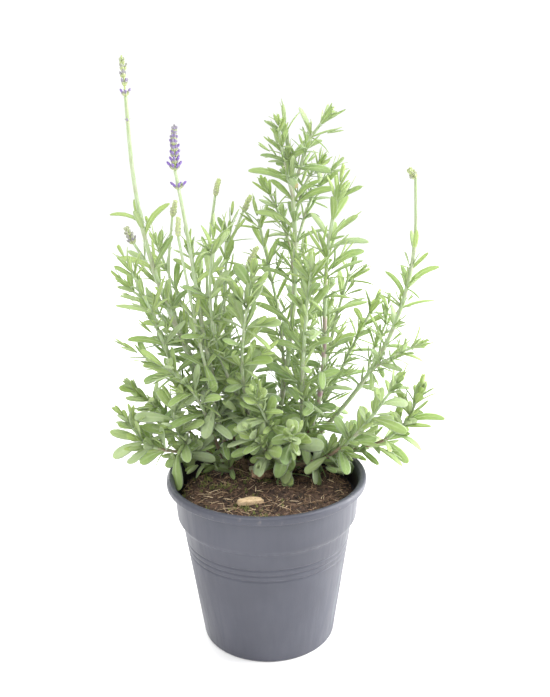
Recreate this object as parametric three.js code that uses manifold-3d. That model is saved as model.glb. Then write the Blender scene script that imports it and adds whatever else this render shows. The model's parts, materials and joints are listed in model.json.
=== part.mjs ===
// A young lavender in a round nursery pot. Millimetres, +Z up.
// The origin is the middle of the pot's flat underside, and -Y is the side where the soil shows.

import * as THREE from 'three';
import { mergeVertices } from 'three/addons/utils/BufferGeometryUtils.js';
import Module from 'manifold-3d';

const wasm = await Module();
wasm.setup();

// Driving dimensions
const clearance = 0.4; // kept between neighbouring pieces
const finest = 0.02; // detail smaller than this is left out
const pot = {
  footRadius: 50.6,
  topRadius: 64.4, // of the tapered body, under the collar
  bodyHeight: 96,
  collarHeight: 101,
  collarRadius: 69.6,
  lipHeight: 124,
  rimRadius: 75,
  height: 131,
  wall: 1.7,
  floor: 2.2,
  grooves: [73.6, 78.4, 83.2],
  grooveDepth: 0.6,
  grooveReach: 1.1,
  facets: 32,
  drains: 6,
  drainRadius: 4,
  drainCircle: 34,
};
const soil = { level: 115, crown: 3, edgeDip: 2.5 };
const stalk = { sides: 5, woodySides: 8, stepLength: 26, hold: 0.4, bends: 6 };
const blade = { thickness: 1.2, shortest: 13 }; // a leaf shorter than this is part of the bud

const colours = {
  pot: 0x5f6773,
  soil: 0x3a2c24,
  bark: 0x9a6f4c,
  wood: 0x7d6650,
  leaf: 0x86a862,
  stem: 0xa3bd84,
  bud: 0xaab07c,
  flower: 0x7c66b0,
};

// Woody stems, from under the soil upwards, with their radius
const woodyStems = {
  woody_stem_left: { radius: 2.2, path: [[-14, 38, 104], [-18, 36, 122], [-26, 30, 146], [-31, 24, 172]] },
  woody_stem_low_left: { radius: 1.8, path: [[-20, 30, 104], [-27, 27, 120], [-36, 25, 131], [-48, 22, 136]] },
  woody_stem_middle: { radius: 2.6, path: [[4, 40, 104], [5, 38, 125], [8, 35, 150]] },
  woody_stem_right: { radius: 2.2, path: [[18, 36, 104], [22, 34, 122], [32, 30, 145]] },
  woody_stem_back: { radius: 2.2, path: [[2, 56, 104], [0, 57, 126], [-4, 56, 150], [-10, 54, 168]] },
  woody_stem_back_right: { radius: 2, path: [[24, 54, 104], [27, 56, 124], [31, 58, 146]] },
  woody_stem_front: { radius: 2, path: [[8, 22, 104], [9, 17, 120], [10, 12, 138]] },
  cut_stub: { radius: 2.4, path: [[-7, 22, 104], [-9, 20, 117], [-12, 17, 127]] },
};

// Flower stems: what they grow from, where on it they start (0 at its foot, 1 at its top), the
// heading they leave with, their tip and the heading there. Then the flower head's reach past the
// tip and its radius,
// then the pairs of leaves, the longest leaf, its width, the turn of the first pair in degrees,
// the part of the stem with no leaf below and above, and a number that starts the leaf variation
const flowerStems = {
  flower_stem_tall: {
    from: 'woody_stem_left', radius: 1.05, head: [-1, 0, 26], headRadius: 3.4, colour: 'bud',
    start: 0.94, leave: [-2, -1, 4], tip: [-88, -4, 405], arrive: [0, 0, 1],
    pairs: 5, leaf: 33, width: 5, turn: 0, bare: [0.12, 0.36], seed: 101,
  },
  flower_stem_purple: {
    from: 'woody_stem_left', radius: 0.95, head: [1, -1, 30], headRadius: 5.5, colour: 'flower',
    start: 0.75, leave: [-1, -2, 4], tip: [-57, -10, 357], arrive: [-1, 0, 6],
    pairs: 4, leaf: 28, width: 4.5, turn: 40, bare: [0.1, 0.5], seed: 102,
  },
  flower_stem_slim: {
    from: 'woody_stem_middle', radius: 0.8, head: [3, 0, 12], headRadius: 3.2, colour: 'bud',
    start: 0.74, leave: [-1, 0, 1], tip: [-33, 26, 335], arrive: [1, -1, 5],
    pairs: 4, leaf: 24, width: 4, turn: 70, bare: [0.15, 0.45], seed: 103,
  },
  flower_stem_leaning: {
    from: 'woody_stem_back', radius: 0.8, head: [6, 0, 12], headRadius: 2.8, colour: 'bud',
    start: 0.6, leave: [-3, -1, 3], tip: [-14, 50, 320], arrive: [1, 0, 2],
    pairs: 5, leaf: 26, width: 4, turn: 20, bare: [0.15, 0.35], seed: 104,
  },
  flower_stem_back: {
    from: 'woody_stem_back', radius: 0.8, head: [3, 0, 12], headRadius: 3, colour: 'bud',
    start: 0.34, leave: [-1, 0, 1], tip: [-67, 50, 317], arrive: [1, 0, 5],
    pairs: 5, leaf: 25, width: 4, turn: 60, bare: [0.15, 0.35], seed: 105,
  },
  flower_stem_front: {
    from: 'woody_stem_low_left', radius: 0.8, head: [1, 0, 13], headRadius: 3, colour: 'bud',
    start: 0.39, leave: [-1, -2, 6], tip: [-56, -20, 314], arrive: [-1, -1, 8],
    pairs: 6, leaf: 27, width: 4.5, turn: 15, bare: [0.15, 0.3], seed: 106,
  },
  flower_stem_outer: {
    from: 'woody_stem_left', radius: 0.9, head: [-5, 0, 12], headRadius: 3.6, colour: 'flower',
    start: 0.5, leave: [-3, 0, 4], tip: [-92, 18, 303], arrive: [-2, 0, 3],
    pairs: 7, leaf: 27, width: 4.5, turn: 80, bare: [0.15, 0.08], seed: 107,
  },
  flower_stem_short: {
    from: 'woody_stem_middle', radius: 0.8, head: [7, 0, 12], headRadius: 3, colour: 'bud',
    start: 0.5, leave: [-2, -1, 4], tip: [-10, 10, 289], arrive: [1, 0, 1],
    pairs: 5, leaf: 26, width: 4.5, turn: 30, bare: [0.2, 0.3], seed: 108,
  },
  flower_stem_right: {
    from: 'woody_stem_right', radius: 1.1, head: [-6, 0, 6], headRadius: 3, colour: 'bud',
    start: 0.69, leave: [1, 0, 1], tip: [111, 30, 345], arrive: [-1, 0, 12],
    pairs: 8, leaf: 26, width: 4, turn: 95, bare: [0.3, 0.22], seed: 109,
  },
};

// Leafy shoots, described in the same way, with no flower head
const leafyShoots = {
  shoot_tall: {
    from: 'woody_stem_middle', radius: 1.5, pairs: 14, leaf: 33, width: 5, turn: 95,
    bare: [0.08, 0.04], seed: 201,
    start: 0.98, leave: [1, -1, 6], tip: [18, 26, 382], arrive: [-1, 0, 8],
  },
  shoot_tall_branch_right: {
    from: 'shoot_tall', radius: 0.9, pairs: 4, leaf: 24, width: 4.5, turn: 80, bare: [0.3, 0.04], seed: 202,
    start: 0.82, leave: [1, -1, 2], tip: [43, 11, 386], arrive: [1, 0, 1],
  },
  shoot_tall_branch_left: {
    from: 'shoot_tall', radius: 0.9, pairs: 4, leaf: 20, width: 4.5, turn: 10, bare: [0.3, 0.04], seed: 203,
    start: 0.79, leave: [-1, -2, 4], tip: [13, 12, 382], arrive: [-1, 0, 6],
  },
  shoot_tall_branch_high: {
    from: 'shoot_tall', radius: 0.8, pairs: 4, leaf: 18, width: 3.5, turn: 45, bare: [0.3, 0.04], seed: 204,
    start: 0.72, leave: [1, 1, 3], tip: [42, 38, 355], arrive: [1, 0, 1],
  },
  shoot_tall_branch_back: {
    from: 'shoot_tall', radius: 0.9, pairs: 4, leaf: 22, width: 4.5, turn: 20, bare: [0.35, 0.04], seed: 205,
    start: 0.63, leave: [1, 1, 3], tip: [52, 44, 350], arrive: [1, 0, 1],
  },
  shoot_tall_branch_low: {
    from: 'shoot_tall', radius: 0.9, pairs: 6, leaf: 23, width: 5, turn: 60, bare: [0.2, 0.04], seed: 206,
    start: 0.5, leave: [0, 1, 2], tip: [5, 40, 336], arrive: [-1, 0, 2],
  },
  shoot_second: {
    from: 'woody_stem_right', radius: 1.4, pairs: 13, leaf: 35, width: 5.5, turn: 72,
    bare: [0.06, 0.04], seed: 207,
    start: 0.98, leave: [1, -1, 3], tip: [54, 12, 338], arrive: [1, 0, 4],
  },
  shoot_right_back: {
    from: 'woody_stem_right', radius: 1.1, pairs: 10, leaf: 30, width: 5, turn: 30,
    bare: [0.1, 0.04], seed: 208,
    start: 0.55, leave: [1, 1, 2], tip: [66, 55, 270], arrive: [1, 0, 3],
  },
  shoot_right_upper: {
    from: 'flower_stem_right', radius: 0.8, pairs: 5, leaf: 22, width: 3.5, turn: 50,
    bare: [0.2, 0.04], seed: 209,
    start: 0.35, leave: [0, 1, 1], tip: [96, 54, 242], arrive: [0, 0, 1],
  },
  shoot_right_outer: {
    from: 'flower_stem_right', radius: 0.8, pairs: 5, leaf: 20, width: 4, turn: 15,
    bare: [0.3, 0.04], seed: 210,
    start: 0.31, leave: [1, -2, 3], tip: [110, 12, 224], arrive: [2, 0, 1],
  },
  shoot_front_right: {
    from: 'woody_stem_front', radius: 1.2, pairs: 9, leaf: 27, width: 8, turn: 20,
    bare: [0.22, 0.04], seed: 211,
    start: 0.74, leave: [1, 0, 0], tip: [92, -12, 200], arrive: [2, 0, 3],
  },
  shoot_low_right: {
    from: 'woody_stem_right', radius: 1.1, pairs: 10, leaf: 27, width: 7.5, turn: 70,
    bare: [0.14, 0.04], seed: 212,
    start: 0.42, leave: [3, 0, 1], tip: [113, 5, 186], arrive: [1, 0, 4],
  },
  shoot_front_low: {
    from: 'woody_stem_front', radius: 1.1, pairs: 5, leaf: 24, width: 9.5, turn: 45,
    bare: [0.3, 0.04], seed: 213,
    start: 0.56, leave: [0, -1, 2], tip: [-8, -14, 165], arrive: [-1, -1, 2],
  },
  shoot_front_rosette: {
    from: 'woody_stem_front', radius: 1.1, pairs: 5, leaf: 25, width: 9.5, turn: 0,
    bare: [0.35, 0.04], seed: 214,
    start: 0.98, leave: [1, -1, 2], tip: [19, -16, 166], arrive: [0, -1, 1],
  },
  shoot_front_upper: {
    from: 'woody_stem_middle', radius: 1.2, pairs: 6, leaf: 25, width: 8, turn: 30,
    bare: [0.3, 0.04], seed: 215,
    start: 0.86, leave: [0, -2, 1], tip: [-5, -16, 194], arrive: [-1, -1, 3],
  },
  shoot_low_left: {
    from: 'woody_stem_low_left', radius: 1.1, pairs: 6, leaf: 28, width: 8.5, turn: 60,
    bare: [0.15, 0.04], seed: 216,
    start: 0.98, leave: [-2, -1, 1], tip: [-98, -4, 170], arrive: [-1, 0, 2],
  },
  shoot_low_left_back: {
    from: 'woody_stem_low_left', radius: 1, pairs: 6, leaf: 24, width: 7, turn: 25,
    bare: [0.35, 0.04], seed: 217,
    start: 0.85, leave: [-1, 1, 1], tip: [-99, 32, 186], arrive: [-1, 0, 1],
  },
  shoot_low_left_upright: {
    from: 'woody_stem_low_left', radius: 1, pairs: 6, leaf: 28, width: 7, turn: 80,
    bare: [0.3, 0.04], seed: 218,
    start: 0.63, leave: [-2, -1, 1], tip: [-62, -4, 194], arrive: [1, 0, 2],
  },
  shoot_left_rear: {
    from: 'woody_stem_back', radius: 1.1, pairs: 10, leaf: 30, width: 5, turn: 50,
    bare: [0.1, 0.04], seed: 219,
    start: 0.46, leave: [-2, 0, 3], tip: [-82, 66, 294], arrive: [-1, 0, 3],
  },
  shoot_left_forward: {
    from: 'woody_stem_left', radius: 1.1, pairs: 10, leaf: 30, width: 5, turn: 15,
    bare: [0.08, 0.04], seed: 220,
    start: 0.83, leave: [-3, 0, 2], tip: [-89, -22, 292], arrive: [-1, 0, 2],
  },
  shoot_left_outer: {
    from: 'woody_stem_back', radius: 1.1, pairs: 10, leaf: 30, width: 5, turn: 70,
    bare: [0.12, 0.04], seed: 221,
    start: 0.72, leave: [-2, 0, 3], tip: [-102, 42, 266], arrive: [-1, 0, 1],
  },
  shoot_left_lower: {
    from: 'woody_stem_low_left', radius: 1.1, pairs: 10, leaf: 30, width: 5.5, turn: 35,
    bare: [0.12, 0.04], seed: 222,
    start: 0.6, leave: [-1, -1, 3], tip: [-84, -20, 230], arrive: [-2, 0, 1],
  },
  shoot_back_left: {
    from: 'woody_stem_back', radius: 1.1, pairs: 10, leaf: 29, width: 5, turn: 85,
    bare: [0.08, 0.04], seed: 223,
    start: 0.98, leave: [-2, 1, 3], tip: [-56, 68, 286], arrive: [-1, 0, 6],
  },
  shoot_inner_left: {
    from: 'woody_stem_middle', radius: 1.1, pairs: 10, leaf: 31, width: 6, turn: 40,
    bare: [0.12, 0.04], seed: 224,
    start: 0.6, leave: [-1, -1, 2], tip: [-33, -18, 308], arrive: [1, -1, 6],
  },
  shoot_inner_middle: {
    from: 'woody_stem_middle', radius: 1, pairs: 10, leaf: 29, width: 5, turn: 5,
    bare: [0.12, 0.04], seed: 225,
    start: 0.8, leave: [-2, 0, 3], tip: [-23, 18, 310], arrive: [1, 0, 6],
  },
  shoot_back_middle: {
    from: 'woody_stem_back', radius: 1.1, pairs: 12, leaf: 30, width: 5, turn: 25,
    bare: [0.1, 0.04], seed: 226,
    start: 0.26, leave: [1, 0, 3], tip: [-3, 46, 315], arrive: [-1, 0, 5],
  },
  shoot_front_tall: {
    from: 'woody_stem_front', radius: 1.2, pairs: 9, leaf: 33, width: 9, turn: 55,
    bare: [0.1, 0.04], seed: 227,
    start: 0.84, leave: [-2, 0, 3], tip: [-7, -20, 282], arrive: [1, -1, 5],
  },
  shoot_middle_right: {
    from: 'woody_stem_right', radius: 1.1, pairs: 10, leaf: 30, width: 6, turn: 10,
    bare: [0.1, 0.04], seed: 228,
    start: 0.77, leave: [0, -1, 2], tip: [34, -8, 285], arrive: [1, -1, 8],
  },
  shoot_back_right: {
    from: 'woody_stem_back_right', radius: 1.1, pairs: 10, leaf: 29, width: 5, turn: 65,
    bare: [0.08, 0.04], seed: 229,
    start: 0.98, leave: [0, 1, 6], tip: [33, 72, 280], arrive: [0, 0, 1],
  },
  shoot_back_outer: {
    from: 'woody_stem_back_right', radius: 1.1, pairs: 9, leaf: 28, width: 5.5, turn: 0,
    bare: [0.15, 0.04], seed: 230,
    start: 0.62, leave: [2, 1, 3], tip: [86, 74, 238], arrive: [1, 0, 2],
  },
};

// Pieces of bark and wood on the soil: middle, half sizes, turn about Z and tilt, in degrees
const chips = {
  bark_piece: { at: [-3, 15, 122.9], half: [9, 5, 2.6], turn: 20, tilt: 12 },
  wood_chip: { at: [-12, -27, 120.2], half: [9.5, 3.4, 1.8], turn: 18, tilt: 3 },
};

const vector = (list) => new THREE.Vector3(...list);
const radians = THREE.MathUtils.degToRad;
const depthAxis = new THREE.Vector3(0, 1, 0);

// A closed geometry as a solid: its seam is welded, and the triangles that a profile's
// points on the axis flatten are dropped.
function toSolid(geometry) {
  geometry.deleteAttribute('normal');
  geometry.deleteAttribute('uv');
  const welded = mergeVertices(geometry, 1e-3);
  const corners = welded.index.array;
  const kept = [];
  for (let i = 0; i < corners.length; i += 3) {
    const [a, b, c] = corners.slice(i, i + 3);
    if (a !== b && b !== c && c !== a) kept.push(a, b, c);
  }
  const mesh = new wasm.Mesh({
    numProp: 3,
    vertProperties: welded.attributes.position.array,
    triVerts: Uint32Array.from(kept),
  });
  return new wasm.Manifold(mesh);
}

function toGeometry(solid) {
  const mesh = solid.getMesh();
  const geometry = new THREE.BufferGeometry();
  geometry.setAttribute('position', new THREE.BufferAttribute(mesh.vertProperties, 3));
  geometry.setIndex(new THREE.BufferAttribute(mesh.triVerts, 1));
  geometry.computeVertexNormals();
  return geometry;
}

// A profile of [radius, height] points turned about the pot's axis
function turned(profile) {
  const points = profile.map(([radius, height]) => new THREE.Vector2(radius, height));
  return toSolid(new THREE.LatheGeometry(points, pot.facets).rotateX(Math.PI / 2));
}

const potWallAt = (height) =>
  pot.footRadius + ((pot.topRadius - pot.footRadius) * height) / pot.bodyHeight;

function potOutside() {
  const { bodyHeight, collarHeight, collarRadius, lipHeight, rimRadius, height } = pot;
  const profile = [[0, 0], [pot.footRadius - 1.8, 0], [pot.footRadius - 0.3, 0.6], [potWallAt(2.2), 2.2]];
  for (const groove of pot.grooves) {
    profile.push([potWallAt(groove - pot.grooveReach), groove - pot.grooveReach]);
    profile.push([potWallAt(groove) - pot.grooveDepth, groove]);
    profile.push([potWallAt(groove + pot.grooveReach), groove + pot.grooveReach]);
  }
  profile.push([pot.topRadius, bodyHeight], [pot.topRadius + 0.7, bodyHeight + 1.8]);
  profile.push([collarRadius - 2, collarHeight - 1.6], [collarRadius - 1.4, collarHeight]);
  profile.push([collarRadius, lipHeight], [rimRadius - 0.9, lipHeight + 0.7], [rimRadius, lipHeight + 2.2]);
  profile.push([rimRadius - 0.2, height - 1.4], [rimRadius - 1.5, height - 0.2]);
  return profile;
}

function potInside() {
  const { wall, floor, bodyHeight, collarHeight, collarRadius, lipHeight, rimRadius, height } = pot;
  return [
    [rimRadius - 2.6, height],
    [rimRadius - 3.9, height - 0.6],
    [rimRadius - 4.8, height - 2.6],
    [collarRadius - wall, lipHeight - 1],
    [collarRadius - 1.4 - wall, collarHeight + 0.8],
    [pot.topRadius - wall, bodyHeight - 0.6],
    [potWallAt(4) - wall, 4],
    [potWallAt(4) - wall - 1.6, floor],
    [0, floor],
  ];
}

function makePot() {
  let solid = turned([...potOutside(), ...potInside()]);
  for (let i = 0; i < pot.drains; i += 1) {
    const angle = ((i + 0.5) * 2 * Math.PI) / pot.drains;
    const hole = new THREE.CylinderGeometry(pot.drainRadius, pot.drainRadius, 4 * pot.floor, 12);
    hole.rotateX(Math.PI / 2);
    hole.translate(pot.drainCircle * Math.cos(angle), pot.drainCircle * Math.sin(angle), 0);
    solid = solid.subtract(toSolid(hole));
  }
  return solid;
}

// The soil follows the pot's inside and is cut away round each woody stem.
function makeSoil() {
  const outline = potInside().slice(4, 8).reverse();
  const side = outline.map(([radius, height]) => [radius - clearance, height]);
  const edge = pot.collarRadius - 1.4 - pot.wall - clearance;
  const profile = [
    [0, pot.floor + clearance],
    [side[0][0], pot.floor + clearance],
    ...side.slice(1),
    [edge + 0.7, soil.level - soil.edgeDip],
    [edge - 6, soil.level],
    [edge / 2, soil.level + soil.crown - 0.6],
    [0, soil.level + soil.crown],
  ];
  return Object.values(woodyStems).reduce(
    (solid, stem) => solid.subtract(roomFor(stem, stalk.woodySides)),
    turned(profile),
  );
}

const stemCurve = (path) => new THREE.CatmullRomCurve3(path.map(vector), false, 'catmullrom', 0.5);
const stepsAlong = (curve) => Math.max(3, Math.round(curve.getLength() / stalk.stepLength));

// The points of a stem's path: one cubic bend from its start on the parent to its own tip
function grownPath(stem, parent) {
  const foot = stemCurve(parent.path).getPointAt(stem.start);
  const tip = vector(stem.tip);
  const hold = stalk.hold * foot.distanceTo(tip);
  const low = foot.clone().addScaledVector(vector(stem.leave).normalize(), hold);
  const high = tip.clone().addScaledVector(vector(stem.arrive).normalize(), -hold);
  const bend = new THREE.CubicBezierCurve3(foot, low, high, tip);
  return bend.getPoints(stalk.bends).map((point) => point.toArray());
}

// A round stem swept along the curve through the path's points
function sweep(path, radius, sides = stalk.sides) {
  const section = new THREE.Shape();
  for (let i = 0; i < sides; i += 1) {
    const angle = (2 * Math.PI * i) / sides;
    section[i ? 'lineTo' : 'moveTo'](radius * Math.cos(angle), radius * Math.sin(angle));
  }
  const curve = stemCurve(path);
  const swept = { extrudePath: curve, steps: stepsAlong(curve), bevelEnabled: false };
  return toSolid(new THREE.ExtrudeGeometry(section, swept));
}

// The middle of a swept stem, which runs straight between its steps
function pointOnStem(curve, at) {
  const corners = curve.getSpacedPoints(stepsAlong(curve));
  const place = at * (corners.length - 1);
  const below = Math.min(Math.floor(place), corners.length - 2);
  return corners[below].clone().lerp(corners[below + 1], place - below);
}

// The room a stem takes in a neighbour: its swept shape a clearance larger, with round ends
function roomFor(stem, sides) {
  const radius = stem.radius + clearance;
  const ends = [stem.path[0], stem.path.at(-1)].map((end) =>
    toSolid(new THREE.SphereGeometry(1.2 * radius, sides, 3).rotateX(Math.PI / 2).translate(...end)),
  );
  return wasm.Manifold.union([sweep(stem.path, radius, sides), ...ends]);
}

// The same run of numbers between 0 and 1 for the same seed
function drawer(seed) {
  let state = seed * 7919;
  return () => {
    state = (state * 16807) % 2147483647;
    return state / 2147483647;
  };
}

// Leaves stand in pairs, each pair a quarter turn from the one below. They lean out and arch
// most on the older wood, and are shorter and more upright towards the tip.
function leavesOf(shoot) {
  const draw = drawer(shoot.seed);
  const [below, above] = shoot.bare;
  const leaves = [];
  for (let pair = 0; pair < shoot.pairs; pair += 1) {
    const rise = pair / (shoot.pairs - 1);
    for (let side = 0; side < 2; side += 1) {
      leaves.push({
        at: below + (1 - below - above) * Math.pow(rise, 0.9),
        turn: shoot.turn + 90 * pair + 180 * side + 26 * (draw() - 0.5),
        spread: 58 - 32 * rise + 18 * (draw() - 0.5),
        bend: 44 - 30 * rise + 40 * (draw() - 0.5),
        length: shoot.leaf * (0.86 + 0.9 * rise * (1 - rise) - 0.24 * rise) * (0.84 + 0.32 * draw()),
        width: shoot.width * (1.25 - 0.25 * rise),
      });
    }
  }
  return leaves;
}

// A leaf is a flat three-sided spindle, its keel underneath, that starts inside its stem and
// arches in one plane.
function leafSolid(curve, leaf) {
  const foot = pointOnStem(curve, leaf.at);
  const along = curve.getTangentAt(leaf.at);
  const away = depthAxis.clone().addScaledVector(along, -depthAxis.dot(along)).normalize();
  const out = away.clone().applyAxisAngle(along, radians(leaf.turn));
  const across = new THREE.Vector3().crossVectors(out, along);
  const spindle = new THREE.SphereGeometry(1, 3, 2, -Math.PI / 2);
  const halfWidth = leaf.width / 2 / Math.cos(Math.PI / 6);
  const { position } = spindle.attributes;
  for (let i = 0; i < position.count; i += 1) {
    const reach = (position.getY(i) + 1) / 2;
    const swing = radians(leaf.bend) * reach;
    const lean = radians(leaf.spread) + swing / 2;
    const chord = leaf.length * reach * (Math.abs(swing) > 1e-3 ? Math.sin(swing / 2) / (swing / 2) : 1);
    const facing = radians(leaf.spread) + swing;
    const up = along.clone().multiplyScalar(Math.sin(facing)).addScaledVector(out, -Math.cos(facing));
    const point = foot.clone()
      .addScaledVector(along, chord * Math.cos(lean))
      .addScaledVector(out, chord * Math.sin(lean))
      .addScaledVector(across, position.getX(i) * halfWidth)
      .addScaledVector(up, (position.getZ(i) * blade.thickness) / 2);
    position.setXYZ(i, point.x, point.y, point.z);
  }
  return toSolid(spindle);
}

// A flower head is a spindle from just past the stem's end to the head's top.
function headSolid(stem) {
  const end = vector(stem.path.at(-1));
  const top = vector(stem.head).add(end);
  const axis = top.clone().sub(end).normalize();
  const start = end.clone().addScaledVector(axis, 2 * clearance);
  const spindle = new THREE.SphereGeometry(1, 8, 6);
  spindle.scale(stem.headRadius, start.distanceTo(top) / 2, stem.headRadius);
  spindle.applyQuaternion(new THREE.Quaternion().setFromUnitVectors(depthAxis, axis));
  const middle = start.add(top).multiplyScalar(0.5);
  return toSolid(spindle.translate(middle.x, middle.y, middle.z));
}

// A chip is a rough slab with broken, tapered ends.
function chipSolid(chip) {
  const slab = new THREE.CylinderGeometry(1, 0.86, 2, 7).rotateX(Math.PI / 2);
  slab.scale(...chip.half);
  slab.rotateY(radians(chip.tilt));
  slab.rotateZ(radians(chip.turn));
  return toSolid(slab.translate(...chip.at));
}

// The pieces by name. Each keeps its separate solids until the end, so that a leaf can be
// tested against every other piece before it is joined to its own stem.
const pieces = new Map();

function addPiece(name, solid, colour, roughness = 0.7) {
  pieces.set(name, { solids: [solid], colour, roughness });
}

const reachesInto = (a, b) =>
  [0, 1, 2].every((i) => a.min[i] < b.max[i] + clearance && b.min[i] < a.max[i] + clearance);

function isClear(leaf, ownName) {
  const box = leaf.boundingBox();
  for (const [name, piece] of pieces) {
    if (name === ownName) continue;
    for (const solid of piece.solids) {
      if (reachesInto(box, solid.boundingBox()) && leaf.minGap(solid, clearance) < clearance) return false;
    }
  }
  return true;
}

const stems = { ...flowerStems, ...leafyShoots };
const parents = { ...woodyStems };
for (const [name, stem] of Object.entries(stems)) {
  stem.path = grownPath(stem, parents[stem.from]);
  parents[name] = stem;
}

addPiece('pot', makePot(), colours.pot, 0.45);
addPiece('potting_soil', makeSoil(), colours.soil, 0.95);
for (const [name, stem] of Object.entries(woodyStems)) {
  addPiece(name, sweep(stem.path, stem.radius, stalk.woodySides), colours.wood, 0.85);
}
for (const [name, chip] of Object.entries(chips)) {
  addPiece(name, chipSolid(chip), colours.bark, 0.9);
}
for (const [name, stem] of Object.entries(stems)) {
  const sides = stem.from in woodyStems ? stalk.woodySides : stalk.sides;
  const swept = sweep(stem.path, stem.radius).subtract(roomFor(parents[stem.from], sides));
  addPiece(name, swept, stem.head ? colours.stem : colours.leaf);
}
for (const [name, stem] of Object.entries(flowerStems)) {
  addPiece(name.replace('stem', 'head'), headSolid(stem), colours[stem.colour], 0.8);
}
for (const [name, stem] of Object.entries(stems)) {
  const curve = stemCurve(stem.path);
  for (const leaf of leavesOf(stem)) {
    const solid = leafSolid(curve, leaf);
    if (leaf.length > blade.shortest && isClear(solid, name)) pieces.get(name).solids.push(solid);
  }
}

const lavender = new THREE.Group();
for (const [name, piece] of pieces) {
  const material = new THREE.MeshStandardMaterial({
    color: piece.colour, roughness: piece.roughness, metalness: 0,
  });
  const whole = wasm.Manifold.union(piece.solids).simplify(finest);
  const mesh = new THREE.Mesh(toGeometry(whole), material);
  mesh.name = name;
  lavender.add(mesh);
}

export default lavender;
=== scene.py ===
# A young lavender in a slate grey nursery pot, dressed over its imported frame. Metres, +Z up.
import json
import math

import bmesh
import bpy
from mathutils import Matrix, Quaternion, Vector, noise

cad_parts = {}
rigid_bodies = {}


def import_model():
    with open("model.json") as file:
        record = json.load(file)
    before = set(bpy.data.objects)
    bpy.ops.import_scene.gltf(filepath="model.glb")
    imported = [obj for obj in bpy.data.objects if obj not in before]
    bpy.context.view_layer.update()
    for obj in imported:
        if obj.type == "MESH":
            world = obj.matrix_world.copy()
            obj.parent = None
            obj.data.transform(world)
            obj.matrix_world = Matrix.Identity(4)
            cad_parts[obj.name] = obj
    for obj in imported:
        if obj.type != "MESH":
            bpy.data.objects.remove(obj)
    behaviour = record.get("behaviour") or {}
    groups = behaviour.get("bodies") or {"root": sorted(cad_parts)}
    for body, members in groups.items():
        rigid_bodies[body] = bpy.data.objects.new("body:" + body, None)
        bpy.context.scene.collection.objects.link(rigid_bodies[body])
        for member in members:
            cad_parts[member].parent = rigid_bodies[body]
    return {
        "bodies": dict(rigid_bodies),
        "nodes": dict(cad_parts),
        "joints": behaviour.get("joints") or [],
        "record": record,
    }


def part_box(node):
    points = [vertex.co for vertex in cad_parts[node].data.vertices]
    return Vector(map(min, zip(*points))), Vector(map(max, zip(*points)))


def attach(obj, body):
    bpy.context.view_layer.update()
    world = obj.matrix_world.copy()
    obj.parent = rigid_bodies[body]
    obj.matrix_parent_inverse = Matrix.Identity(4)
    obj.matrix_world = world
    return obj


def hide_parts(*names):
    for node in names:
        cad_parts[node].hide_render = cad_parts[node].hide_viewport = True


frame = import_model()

noise.seed_set(5)  # without a seed, noise vectors start from the clock

mm = 0.001
upward = Vector((0, 0, 1))
depthAxis = Vector((0, 1, 0))
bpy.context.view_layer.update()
potLow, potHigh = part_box("pot")
soilLow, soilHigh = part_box("potting_soil")


def drawer(seed):
    # the same run of numbers between 0 and 1 for the same seed
    state = seed * 7919

    def draw():
        nonlocal state
        state = (state * 16807) % 2147483647
        return state / 2147483647

    return draw


def between(low, high, share):
    return low + (high - low) * share


def smoothRise(low, high, value):
    share = min(1, max(0, (value - low) / (high - low)))
    return share * share * (3 - 2 * share)


def placePiece(name, bm, materials, nodes):
    mesh = bpy.data.meshes.new(name)
    bm.to_mesh(mesh)
    bm.free()
    for material in materials:
        mesh.materials.append(material)
    mesh.shade_smooth()
    piece = bpy.data.objects.new(name, mesh)
    bpy.context.scene.collection.objects.link(piece)
    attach(piece, "root")
    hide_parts(*nodes)
    return piece


def newMaterial(name, roughness, **fixed):
    material = bpy.data.materials.new(name)
    material.use_nodes = True
    shader = material.node_tree.nodes["Principled BSDF"]
    shader.inputs["Roughness"].default_value = roughness
    for socket, value in fixed.items():
        shader.inputs[socket].default_value = value
    return material, material.node_tree, shader


def addNode(tree, kind, inputs=None, **settings):
    node = tree.nodes.new("ShaderNode" + kind)
    for key, value in settings.items():
        setattr(node, key, value)
    for key, value in (inputs or {}).items():
        if isinstance(value, bpy.types.NodeSocket):
            tree.links.new(value, node.inputs[key])
        else:
            node.inputs[key].default_value = value
    return node


def objectPoint(tree):
    return addNode(tree, "TexCoord").outputs["Object"]


def noiseAt(tree, scale, detail=3, point=None, roughness=0.55):
    inputs = {"Vector": point or objectPoint(tree), "Scale": scale, "Detail": detail, "Roughness": roughness}
    return addNode(tree, "TexNoise", inputs).outputs["Fac"]


def stretched(tree, point, scale):
    return addNode(tree, "Mapping", {"Vector": point, "Scale": scale}).outputs[0]


def mixed(tree, factor, first, second, blend="MIX"):
    node = addNode(tree, "Mix", {0: factor, 6: first, 7: second}, data_type="RGBA", blend_type=blend)
    return node.outputs[2]


def spread(tree, value, low, high, toLow=0.0, toHigh=1.0):
    inputs = {"Value": value, "From Min": low, "From Max": high, "To Min": toLow, "To Max": toHigh}
    return addNode(tree, "MapRange", inputs, interpolation_type="SMOOTHSTEP").outputs["Result"]


def worked(tree, operation, first, second=0.0):
    return addNode(tree, "Math", {0: first, 1: second}, operation=operation).outputs[0]


def bumped(tree, height, strength, distance, below=None):
    inputs = {"Height": height, "Strength": strength, "Distance": distance}
    if below is not None:
        inputs["Normal"] = below
    return addNode(tree, "Bump", inputs).outputs["Normal"]


def rgb(red, green, blue):
    return (red, green, blue, 1)


def finishSurface(tree, shader, colour, roughness, normal):
    tree.links.new(colour, shader.inputs["Base Color"])
    tree.links.new(roughness, shader.inputs["Roughness"])
    tree.links.new(normal, shader.inputs["Normal"])


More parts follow.
